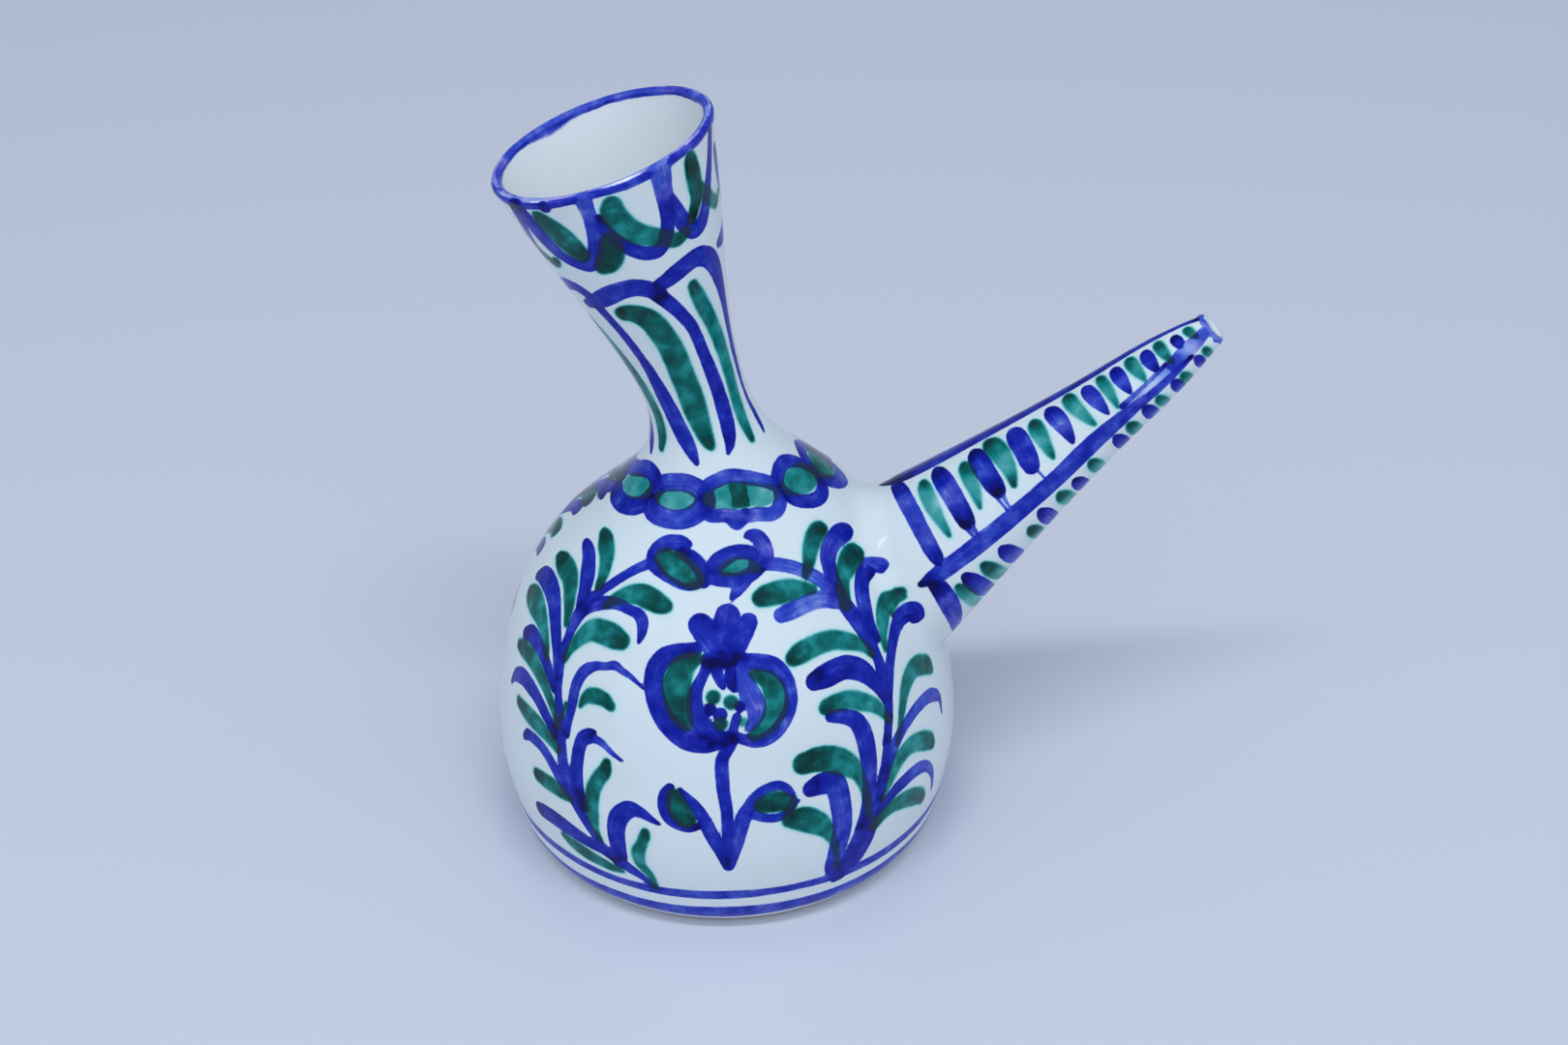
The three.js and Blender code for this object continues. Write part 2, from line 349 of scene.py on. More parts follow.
def capped_piece(name, rings):
    """A closed piece from rings of points, with a fan to the middle of the first and of the last ring."""
    rows, segments = rings.shape[:2]
    points = np.concatenate([rings.reshape(-1, 3), [rings[0].mean(0)], [rings[-1].mean(0)]])
    faces = grid_faces(rows, segments, joined=False)
    first, last = rows * segments, rows * segments + 1
    top = (rows - 1) * segments
    for j in range(segments):
        after = (j + 1) % segments
        faces.append((first, after, j))
        faces.append((last, top + j, top + after))
    return make_piece(name, points, faces)


def places_in(mesh):
    """A mesh's vertices in millimetres."""
    flat = np.empty(len(mesh.vertices) * 3)
    mesh.vertices.foreach_get("co", flat)
    return flat.reshape(-1, 3) / MM


def set_normals(piece, chosen, normals):
    """Gives the chosen vertices exact normals, so that pieces that meet flush show no seam."""
    mesh = piece.data
    flat = np.empty(len(mesh.vertices) * 3)
    mesh.vertices.foreach_get("normal", flat)
    every = flat.reshape(-1, 3)
    every[chosen] = normals[chosen]
    mesh.normals_split_custom_set_from_vertices(every.tolist())


def make_body():
    """Belly and floor, open at the neck joint and pierced where the spout is set on."""
    outer = painted_heights(FOOT_EDGE_HEIGHT, NECK_JOINT_HEIGHT)
    inner = even_heights(NECK_JOINT_HEIGHT, FLOOR_THICKNESS, INNER_STEP)
    profile = [
        *UNDERSIDE_RINGS,
        *zip(outer_at(outer)[0], outer),
        *zip(inner_at(inner), inner),
        *((radius, FLOOR_THICKNESS) for radius in FLOOR_RINGS),
    ]
    piece = capped_piece("body_ware", turned_rings(profile, BODY_SEGMENTS))
    angle = angles_round(HOLE_SEGMENTS)
    ends = [np.full(HOLE_SEGMENTS, along) for along in (-HOLE_REACH, HOLE_REACH)]
    hole = capped_piece("hole", np.stack([spout_points(angle, along, spout_bore(along)) for along in ends]))
    cut = piece.modifiers.new("spout_hole", "BOOLEAN")
    cut.operation = "DIFFERENCE"
    cut.solver = "MANIFOLD"
    cut.object = hole
    bpy.context.view_layer.objects.active = piece
    bpy.ops.object.modifier_apply(modifier=cut.name)
    bpy.data.objects.remove(hole)
    return piece


def make_neck():
    """Flared collar with a half-round lip, the chart height of each ring, and how many rings are outside."""
    low = NECK_JOINT_HEIGHT + NECK_LUTING_THICKNESS
    lip_size = (outer_at(MOUTH_HEIGHT)[0] - inner_at(MOUTH_HEIGHT)) / 2
    lip_base = MOUTH_HEIGHT - lip_size
    outer = painted_heights(low, lip_base)
    inner = even_heights(lip_base, low, INNER_STEP / 2)
    lip, lip_arc = lip_profile(outer_at(lip_base)[0], inner_at(lip_base), lip_base)
    profile = [*zip(outer_at(outer)[0], outer), *lip, *zip(inner_at(inner), inner)]
    chart = np.concatenate([outer, lip_base + lip_arc, lip_base + np.pi * lip_size + lip_base - inner])
    return ring_piece("neck_ware", turned_rings(profile, NECK_SEGMENTS)), chart, len(outer)


def make_neck_luting():
    """Ring of slip between body and neck, flush with both."""
    high = NECK_JOINT_HEIGHT + NECK_LUTING_THICKNESS
    rows = even_heights(NECK_JOINT_HEIGHT, high, NECK_LUTING_THICKNESS / 2)
    inner = rows[::-1]
    profile = [*zip(outer_at(rows)[0], rows), *zip(inner_at(inner), inner)]
    return ring_piece("neck_slip", turned_rings(profile, NECK_SEGMENTS))


def make_spout():
    """Tapered cone with a bore, a rounded tip and a root sunk into the body, and the chart of its rings."""
    angle = angles_round(SPOUT_SEGMENTS)
    lip_base = SPOUT_LENGTH - SPOUT_TIP_WALL / 2
    root = meeting_along(angle, spout_radius) - SPOUT_SINK
    bore_root = meeting_along(angle, spout_bore) - SPOUT_SINK
    share = np.linspace(0, 1, int(np.ceil((lip_base - root.min()) / SPOUT_STEP)) + 1)[:, None]
    along = root + (lip_base - root) * share
    rings = [spout_points(angle, row, spout_radius(row)) for row in along]
    lip, lip_arc = lip_profile(spout_radius(lip_base), spout_bore(lip_base), lip_base)
    rings += [spout_points(angle, np.full(len(angle), t), np.full(len(angle), r)) for r, t in lip]
    back = np.linspace(0, 1, int(SPOUT_LENGTH / INNER_STEP))[:, None]
    inside = lip_base + (bore_root - lip_base) * back
    rings += [spout_points(angle, row, spout_bore(row)) for row in inside]
    level = [np.full(len(angle), lip_base + arc) for arc in lip_arc]
    chart = np.concatenate([along, level, lip_base + np.pi * SPOUT_TIP_WALL / 2 + lip_base - inside])
    return ring_piece("spout_ware", np.stack(rings)), chart


def make_spout_luting():
    """Fillet of slip from the spout's surface to the body's, with its hidden corner sunk below both."""
    angle = angles_round(SPOUT_SEGMENTS)
    along = meeting_along(angle, spout_radius)
    outward = spout_outward(angle)
    reach = FILLET_REACH + FILLET_SPREAD * np.cos(np.radians(angle))
    corner = spout_points(angle, along, spout_radius(along))
    on_cone = spout_points(angle, along + reach, spout_radius(along + reach) - FILLET_SINK)
    on_wall = onto_body(corner + outward * reach[:, None])
    rings = []
    for share in np.linspace(0, 1, FILLET_STEPS + 1):
        rings.append((1 - share) ** 2 * on_wall + 2 * share * (1 - share) * corner + share**2 * on_cone)
    rings.append(corner - outward * SPOUT_SINK - SPOUT_AXIS * SPOUT_SINK)
    return ring_piece("spout_slip", np.stack(rings))


# Painting. A stroke is a list of knots: chart angle, chart height, the half-width of the brush mark there
# and, where it isn't 1, how much colour the brush carries there.
STROKE_STEPS = 6
PAINT_MARGIN = 5
NO_PAINT = -9.0
LEAST_HALF_WIDTH = 0.25

# Load of the brush: it pools at the ends of a mark, fades between them, and adds up where marks cross
END_POOLING = 0.26
POOL_LENGTH = 1.7
POOL_LEAST_WIDTH = 0.5
BLUE_FADE = 0.08
GREEN_FADE = 0.14
SPOUT_BLUE_FADE = 0.42
SPOUT_GREEN_FADE = 0.5
SECOND_COAT = 0.16
CROSSING_EDGE = 0.3

# Chance in the hand: the load of a mark, its drift in a repeat, the waver of a band, and where the hairs lie
LOAD_RANGE = (0.88, 1.1)
DRIFT_ANGLE = 1
DRIFT_HEIGHT = 0.6
BAND_STEP = 15
BAND_WAVER = 0.25
BAND_WIDTH_RANGE = (0.85, 1.15)
HAIR_SPREAD = 90

# A pattern that is lifted to the right rises by its full lift at this angle
LIFT_ANGLE = 75
LIFT_POWER = 1.5

# Leaf marks of the spout: places along one, and the share of its width at each
PETAL_SHARES = (0, 0.12, 0.3, 0.5, 0.7, 0.88, 1)
POINTED_LEAF = (0.55, 0.9, 1, 0.93, 0.74, 0.52, 0.3)
BLUNT_LEAF = (0.5, 0.85, 1, 1, 0.97, 0.92, 0.8)
PETAL_FULLNESS = 1.04

# Guards against division by zero
LEAST_SCALE = 1e-3
LEAST_LENGTH = 1e-6
LEAST_SQUARE = 1e-9


def toned(mark):
    """Tone and knots of a mark: a list of knots alone has a tone of 1."""
    return mark if isinstance(mark, tuple) else (1.0, mark)


def smoothed(knots):
    """A stroke's knots as a fine path on a smooth curve through them."""
    points = np.asarray(knots, float)
    if len(points) < 2:
        return np.repeat(points, 2, 0)
    before = np.concatenate([[2 * points[0] - points[1]], points[:-1]])[:-1]
    after = np.concatenate([points[1:], [2 * points[-1] - points[-2]]])[1:]
    start, end = points[:-1], points[1:]
    share = np.linspace(0, 1, STROKE_STEPS, endpoint=False)[None, :, None]
    start, end, before, after = (side[:, None, :] for side in (start, end, before, after))
    path = 0.5 * (
        2 * start
        + (end - before) * share
        + (2 * before - 5 * start + 4 * end - after) * share**2
        + (3 * start - before - 3 * end + after) * share**3
    )
    return np.concatenate([path.reshape(-1, 4), points[-1:]])


class Coat:
    """One colour of paint on a surface, as values at its points.

    reach is the depth inside the nearest brush mark's edge in millimetres, negative outside it. tone is how
    much colour the mark carries. brush places a point across and along its mark, for the streaks of hairs.
    """

    def __init__(self, angle, height, across_scale, height_scale, fade):
        self.angle = angle
        self.height = height
        self.across_scale = across_scale
        self.height_scale = height_scale
        self.fade = fade
        self.reach = np.full(len(angle), NO_PAINT)
        self.tone = np.zeros(len(angle))
        self.brush = np.zeros((len(angle), 3))

    def stroke(self, knots, tone):
        """Lays one stroke. A point keeps the mark it lies deepest in, and more colour where marks cross."""
        path = smoothed(knots)
        path[:, 2] = np.maximum(path[:, 2], LEAST_HALF_WIDTH)
        middle = (path[:, 0].min() + path[:, 0].max()) / 2
        turn = (self.angle - middle + 180) % 360 - 180 + middle
        margin = PAINT_MARGIN + path[:, 2].max()
        close_by = (self.height > path[:, 1].min() - margin) & (self.height < path[:, 1].max() + margin)
        spread = margin / np.maximum(self.across_scale, LEAST_SCALE)
        close_by &= (turn > path[:, 0].min() - spread) & (turn < path[:, 0].max() + spread)
        near = np.flatnonzero(close_by)
        if len(near) == 0:
            return
        scale_x = self.across_scale[near, None]
        scale_y = self.height_scale[near, None]
        x = (path[None, :, 0] - turn[near, None]) * scale_x
        y = (path[None, :, 1] - self.height[near, None]) * scale_y
        step_x, step_y = np.diff(x, axis=1), np.diff(y, axis=1)
        length = np.hypot(step_x, step_y)
        share = -(x[:, :-1] * step_x + y[:, :-1] * step_y) / np.maximum(length**2, LEAST_SQUARE)
        share = np.clip(share, 0, 1)
        off_x = x[:, :-1] + share * step_x
        off_y = y[:, :-1] + share * step_y
        gap = np.hypot(off_x, off_y)
        half = path[:-1, 2] + share * np.diff(path[:, 2])
        best = np.argmax(half - gap, axis=1)
        pick = np.arange(len(near)), best
        reach = (half - gap)[pick]
        side = np.sign(step_x * off_y - step_y * off_x)[pick]
        run = (np.cumsum(length, axis=1) - length + share * length)[pick]
        total = np.maximum(length.sum(1), LEAST_LENGTH)
        end = np.minimum(run, total - run) / np.maximum(half[pick], POOL_LEAST_WIDTH)
        load = (path[:-1, 3] + share * np.diff(path[:, 3]))[pick]
        pooled = 1 - self.fade + (self.fade + END_POOLING) * np.exp(-((end / POOL_LENGTH) ** 2))
        pooled *= tone * load
        brush = np.stack([side * gap[pick], run, np.full(len(near), random.uniform(0, HAIR_SPREAD))], -1)
        old_reach, old_tone = self.reach[near], self.tone[near]
        over = np.clip(np.minimum(reach, old_reach) + CROSSING_EDGE, 0, 1)
        ahead = reach > old_reach
        new_tone = np.where(ahead, pooled, old_tone) + over * SECOND_COAT * np.minimum(pooled, old_tone)
        self.tone[near] = np.where(reach > NO_PAINT, new_tone, old_tone)
        self.brush[near] = np.where(ahead[:, None], brush, self.brush[near])
        self.reach[near] = np.maximum(old_reach, reach)

    def strokes(self, marks, turn=0.0, lift=0.0, jitter=0.0, fullness=1.0):
        """Lays a list of strokes, turned round the chart and lifted to the right, each with its own load."""
        for tone, knots in map(toned, marks):
            moved = np.array([(*knot, 1.0)[:4] for knot in knots])
            rise = lift * np.maximum(moved[:, 0] / LIFT_ANGLE, 0) ** LIFT_POWER
            moved[:, 1] += rise + random.normal(0, DRIFT_HEIGHT) * jitter
            moved[:, 0] += turn + random.normal(0, DRIFT_ANGLE) * jitter
            moved[:, 2] *= fullness
            self.stroke(moved, tone * random.uniform(*LOAD_RANGE))


def ring_mark(height, half_width, low_at_side=0.0, tone=1.0):
    """A band brushed right round, a little uneven."""
    turn = np.arange(-180, 181, BAND_STEP)
    wave = random.normal(0, BAND_WAVER, len(turn))
    wave[-1] = wave[0]
    drop = low_at_side * (1 - np.cos(2 * np.radians(turn))) / 2
    width = half_width * random.uniform(*BAND_WIDTH_RANGE, len(turn))
    width[-1] = width[0]
    return tone, list(zip(turn, height - drop + wave, width))


def oval_marks(angle, height):
    """Upper and lower brush marks of one closed oval in the chain round the shoulder."""
    turn = np.radians(np.linspace(0, 180, CHAIN_KNOTS))
    across = angle - CHAIN_HALF_ANGLE * np.cos(turn)
    rise = CHAIN_HALF_HEIGHT * np.sin(turn)
    return [[(x, y, CHAIN_WIDTH) for x, y in zip(across, level)] for level in (height + rise, height - rise)]


def petal(from_angle, to_angle, from_along, middle_along, to_along, width, blunt=False):
    """A leaf mark across a panel of the spout: round where it starts, narrow or blunt where it ends."""
    bow = middle_along - (from_along + to_along) / 2
    knots = []
    for share, part in zip(PETAL_SHARES, BLUNT_LEAF if blunt else POINTED_LEAF):
        along = from_along + (to_along - from_along) * share + bow * 4 * share * (1 - share)
        knots.append((from_angle + (to_angle - from_angle) * share, along, PETAL_FULLNESS * width * part))
    return knots


# Pomegranate spray on the front, and its repeat on the back
SPRAY_BLUE = [
    # stem and the two leaves at its foot
    [(3.4, 76.3, 1.5), (2.2, 74, 1.7), (0.2, 70, 2), (0, 65, 2.1), (0.3, 58.5, 2), (0.9, 51, 1.9),
     (0.7, 32, 1.8)],
    [(0.8, 31.5, 1.8), (1.8, 36, 2), (3.4, 43.5, 2.2), (4.6, 50, 2.4), (6.2, 54, 2), (7.5, 56.5, 1.9),
     (9.7, 58.8, 1.8), (12.5, 59.8, 1.7), (14.7, 59, 1.5), (16.3, 56.5, 1.3), (16.9, 53.5, 1.2)],
    [(5.5, 52.5, 1.8), (7.2, 51, 1.7), (9.4, 49.5, 1.6), (12.5, 48.8, 1.6), (15, 49.8, 1.5),
     (16.6, 51.8, 1.2), (18, 53.3, 0.7)],
    [(0.6, 31.5, 1.6), (-0.6, 37, 2), (-2.8, 44, 2.3), (-4.6, 50, 2.1), (-7, 55, 1.8), (-10.2, 59.6, 0.9)],
    [(-12.6, 60, 1.5), (-13.9, 57, 2), (-14, 52.5, 2), (-12.9, 49, 1.9), (-10.8, 46.9, 1.5),
     (-8.3, 46.2, 1.4), (-6.3, 47.2, 1.4)],
    # crown
    (0.75, [(1, 99, 4), (-3, 103.5, 4), (-6, 106, 3.6)]),
    (0.75, [(1.5, 99, 4), (2.5, 105, 4.2), (3.2, 108, 3.6)]),
    (0.75, [(3, 99, 3.5), (7, 103.5, 3.4), (10, 106.2, 2.7)]),
    [(-3, 97.5, 2.5), (1, 98, 3), (4.5, 97.5, 2.5)],
    # lobes of the fruit
    [(-7, 100.5, 2), (-11.4, 99.6, 2.4), (-15.9, 98, 2.8), (-18.2, 95, 3), (-18.6, 91, 3),
     (-17.3, 86.5, 3.1), (-15, 82, 3.2), (-12, 78.5, 3.4), (-8.1, 75.7, 3.4), (-4.1, 75.2, 3.3),
     (-0.2, 76, 2.8)],
    [(-3.2, 97.2, 1.7), (-4.6, 94, 1.6), (-6.4, 90.2, 2), (-6.7, 86.5, 2.4), (-5.6, 82, 2.9), (-3, 78.6, 3),
     (0.4, 76.6, 2.4), (3.2, 76.4, 1.9)],
    [(6, 97.6, 2.2), (12.1, 96.5, 2.5), (15.7, 95.1, 2.6), (18.1, 92.3, 2.3), (19.2, 89, 2), (19, 85, 2),
     (17.7, 81.8, 2.1), (15.4, 78.5, 2.3), (12.4, 75.8, 2.3), (9.1, 74.8, 2), (5.8, 75.8, 1.8),
     (3.5, 77, 1.6)],
    (0.7, [(5.8, 96.8, 2.3), (6.8, 92.5, 2.6), (8.2, 88.5, 3.2), (9.5, 84.8, 3), (8.9, 81.5, 2.2),
           (7.2, 79.2, 1.4)]),
    # petals into the middle, and seeds
    [(-1, 95.5, 1.8), (0.3, 92.5, 1.6), (1, 91, 1)],
    [(3.5, 95.5, 1.9), (3.5, 92, 1.8), (4, 90.3, 1.2)],
    [(-2.7, 85, 2)],
    [(0, 83.5, 2.2)],
    [(5.2, 85.5, 1.8)],
    [(4.2, 82.5, 1.5), (2.6, 77, 1.5)],
    # small flowers where the branches meet
    (0.85, [(-31.4, 120.5, 1.6), (-29.4, 121.9, 2.2), (-25.8, 123, 2.6), (-21.9, 123.6, 2.5),
            (-17.3, 123.7, 2.2), (-14, 123.4, 1.6)]),
    [(-17, 121.8, 1.8), (-11.4, 120.6, 2.3), (-8, 119.2, 2.4), (-5.6, 117.2, 2.2), (-5.2, 115.4, 1.8)],
    [(-31.4, 120, 1.5), (-29.4, 118.3, 2), (-26.4, 117.3, 1.8), (-23.2, 116.3, 1.5), (-19.2, 115.4, 1.3),
     (-14.6, 114.5, 1.2), (-10.7, 114.3, 1.2), (-7.4, 115, 1.3)],
    (0.9, [(-2, 118.3, 2.4), (2, 119.9, 2.8), (8, 121, 2.4), (14, 120.8, 2.2), (18, 119.6, 2.2)]),
    (0.9, [(-2.6, 116.6, 2.4), (2, 115.9, 2.3), (8, 115.4, 2.2), (14, 116.1, 2.2), (19, 117.2, 1.9)]),
    (0.8, [(16.3, 123.9, 0.9), (19.3, 123.8, 1.8), (22.2, 122.8, 2.4), (23.2, 120.5, 2.6),
           (21.3, 118.3, 2.6), (17.3, 117.8, 2.2)]),
    (0.8, [(11, 115.4, 2.4), (8, 113.6, 2), (5.4, 111.8, 1)]),
    # right branch
    [(28.8, 17, 2.4), (31.5, 22, 4.4), (34, 28, 4.8), (35.5, 33, 4.4), (37.5, 38, 2.2), (39.5, 43, 2.2),
     (41.5, 49, 2.2), (43.2, 56, 1.9), (45, 63, 1.7), (46.3, 68, 2)],
    [(44.2, 60.5, 2), (46, 67, 1.9), (47.2, 72.5, 2), (47.6, 80, 2.3), (47.8, 88, 2), (46.8, 94, 2.3),
     (45.6, 100, 2.7), (44.5, 104, 2.7), (42.7, 107.5, 2.3, 0.85), (39.5, 110.8, 2.2, 0.7),
     (35, 113.6, 2.1, 0.65), (30, 115.6, 2.1, 0.65), (24, 117, 2, 0.65), (17, 117.8, 1.9, 0.7)],
    # its inner leaves
    [(21.6, 56.3, 3), (24.4, 56.8, 3.7), (27.5, 55.3, 3.6), (28.4, 51, 3.6), (28.8, 44.5, 3.5),
     (28.8, 39, 3.4), (28.1, 34, 3.4), (27.2, 28.5, 3.1), (26.6, 22.5, 2.8), (27.8, 16.5, 2)],
    [(34.6, 35, 3.2), (35.8, 41, 2.6), (37.2, 50, 2.7), (37.8, 58, 3.1), (37.7, 65, 3.2), (36.9, 70, 3),
     (35.3, 73.4, 2.6), (32.3, 75.8, 2.3), (29, 77.2, 2)],
    [(26.5, 88.5, 2.9), (30.4, 88.9, 3.7), (35.7, 89.1, 3.6), (39.6, 87.3, 3.5), (42.3, 84.5, 3.1),
     (43.9, 81.5, 2.5), (45.5, 77.5, 2), (46.7, 73, 1.6)],
    (0.62, [(21.2, 106.3, 2.2), (24.5, 106.6, 2.5), (29.1, 106.9, 2.5), (34.4, 107, 2.5),
            (38.3, 106.3, 2.4), (42, 104.6, 2)]),
    # its outer leaves
    [(38.1, 36.5, 1.6), (41.3, 39.5, 2), (45, 42, 2.4), (48.8, 43, 2.6, 0.8), (52.5, 43.2, 2.5, 0.7),
     (55.6, 42.2, 2.3, 0.7), (58.4, 40, 1.9, 0.7), (60.3, 36.5, 1.6, 0.7), (61.4, 32.5, 1.2, 0.8),
     (61.9, 27, 0.8, 0.8)],
    [(39.7, 42.5, 1.8), (40.9, 47.5, 2.4), (43.1, 53, 2.6), (46.9, 58, 2.4, 0.8), (50.6, 61, 2.3, 0.7),
     (55, 62.8, 2.3, 0.7), (59.4, 63.3, 2.4, 0.7), (63.8, 62.3, 2.4, 0.7), (67.2, 59.8, 2.2, 0.7),
     (69.4, 56.8, 1.5, 0.8), (69.4, 51, 0.6)],
    [(47.5, 72.5, 1.6), (49.1, 77.5, 1.9), (51.4, 82.5, 2.1), (54.7, 86.6, 2.2), (58, 89.2, 2.5),
     (61.2, 90.5, 2.7), (64, 90.8, 2.8)],
    [(50.5, 91, 1.4), (50.1, 96, 2.4), (51.8, 100.5, 2.9), (54.4, 103.8, 2.9), (57.7, 105.6, 2.8),
     (62, 106.2, 2.7)],
    [(45.5, 106.5, 2), (45.5, 110, 2.4), (47.5, 112.8, 2.7), (50.8, 114.4, 2.8), (55.4, 115.2, 2.8),
     (60, 115.3, 3), (64.2, 114.9, 2.8), (66.9, 114.5, 2)],
    # left branch
    [(-18.2, 19.6, 1), (-20.8, 22.8, 1.6), (-24.5, 26, 2.4), (-28, 29, 2.4), (-30.8, 32, 1.8),
     (-33, 35.5, 1.6), (-35.5, 40, 2), (-38, 45, 2.6), (-40.2, 50, 2.8), (-42.5, 56, 2.4), (-43.5, 61, 2.2),
     (-44.5, 67, 2.2), (-46, 72.5, 2.2), (-47.5, 78, 1.7), (-48.6, 83, 1.8), (-49.5, 88, 1.8),
     (-50, 94, 1.8), (-49.8, 99, 2.4), (-48.8, 103, 2.8), (-47, 106.5, 2), (-44.3, 109.6, 1.7),
     (-40.5, 113, 1.7), (-36, 115.9, 1.7), (-31, 118, 1.8)],
    # its outer leaves
    [(-51.3, 31.5, 3), (-48.1, 32.4, 3.3), (-43.8, 32.5, 3.4), (-39.4, 31.8, 3.1), (-35, 30.8, 2.6),
     (-30.6, 29.8, 2.2), (-26.9, 27.5, 2.2)],
    [(-58.8, 54.3, 1.3), (-57.2, 56.3, 2), (-54.4, 56.9, 2.1), (-51.3, 56.7, 2.1), (-48.4, 55.3, 2.2),
     (-45.6, 52.8, 2.2), (-43.1, 50, 2.2), (-40.6, 47, 2.2)],
    [(-70.7, 65, 0.9), (-69.4, 68, 1.7), (-67.1, 70.5, 2.5), (-63.8, 72.1, 2.9), (-59.9, 72.2, 2.9),
     (-56, 71.3, 2.6), (-52.4, 69.3, 2.4), (-49.1, 66.8, 2.2), (-46.5, 64, 2)],
    [(-69.4, 83.5, 2.2), (-66.5, 85.5, 2.8), (-63.2, 85.8, 2.9), (-59.3, 85, 2.5), (-55.3, 83.3, 2.3),
     (-52, 80.8, 2.1), (-49.1, 78, 1.8)],
    [(-79.9, 96.8, 1.8), (-77.3, 98.6, 2.8), (-73.7, 99.5, 3.3), (-69.8, 99.7, 3.4), (-65.5, 99.1, 3.4),
     (-61.9, 97.6, 3.1), (-58.3, 95, 2.8), (-55, 91.8, 2.5), (-52.4, 88.5, 2.2), (-50.1, 84.5, 1.9),
     (-48.4, 81, 1.5)],
    [(-69.8, 114.1, 1.5), (-66.5, 113.8, 2.3), (-62.5, 113, 2.7), (-58.6, 111.1, 3), (-55.3, 108.8, 3),
     (-52.7, 106, 2.6), (-50.7, 102.5, 2.2)],
    # its inner leaves
    [(-26.3, 26.5, 2.6), (-25.9, 31, 2.6), (-26.3, 36, 3), (-26.4, 41, 3.1), (-25.6, 45.5, 3.2),
     (-23.8, 48.8, 3), (-22, 50, 2.6), (-19.5, 49.3, 1.9), (-17.3, 47.8, 1.3), (-15.4, 46.6, 0.8)],
    [(-36, 44.5, 2.6), (-37.6, 51, 2.6), (-38.1, 58, 2.5), (-37.8, 64, 2.4), (-36.9, 68, 2.3),
     (-35, 70.3, 2), (-33.6, 71.6, 1)],
    [(-36.5, 67.5, 1.8), (-34, 69.3, 1.6), (-31.3, 69.2, 1.4), (-28.6, 67.4, 1.1), (-25.2, 65.4, 0.7)],
    [(-42.5, 66.5, 1.6), (-42.1, 72.5, 1.6), (-41.9, 77.5, 2), (-41.9, 82, 2), (-41.2, 85.5, 2),
     (-39.6, 88.5, 1.9), (-36.9, 90.5, 1.5), (-33.7, 91.5, 1.3), (-31, 92.5, 1.5), (-28.4, 91.8, 1.2),
     (-25.1, 90.8, 0.9), (-21.2, 88.8, 0.6)],
    [(-49.4, 101, 2.2), (-46.8, 103.5, 2.4), (-43.5, 105.3, 2.4), (-39.6, 106.6, 2.2), (-35.6, 107, 1.9),
     (-31.7, 106.7, 1.7), (-28.4, 106.4, 1.9), (-26, 105, 2), (-25, 102.5, 1.6), (-25.2, 100, 0.8)],
]

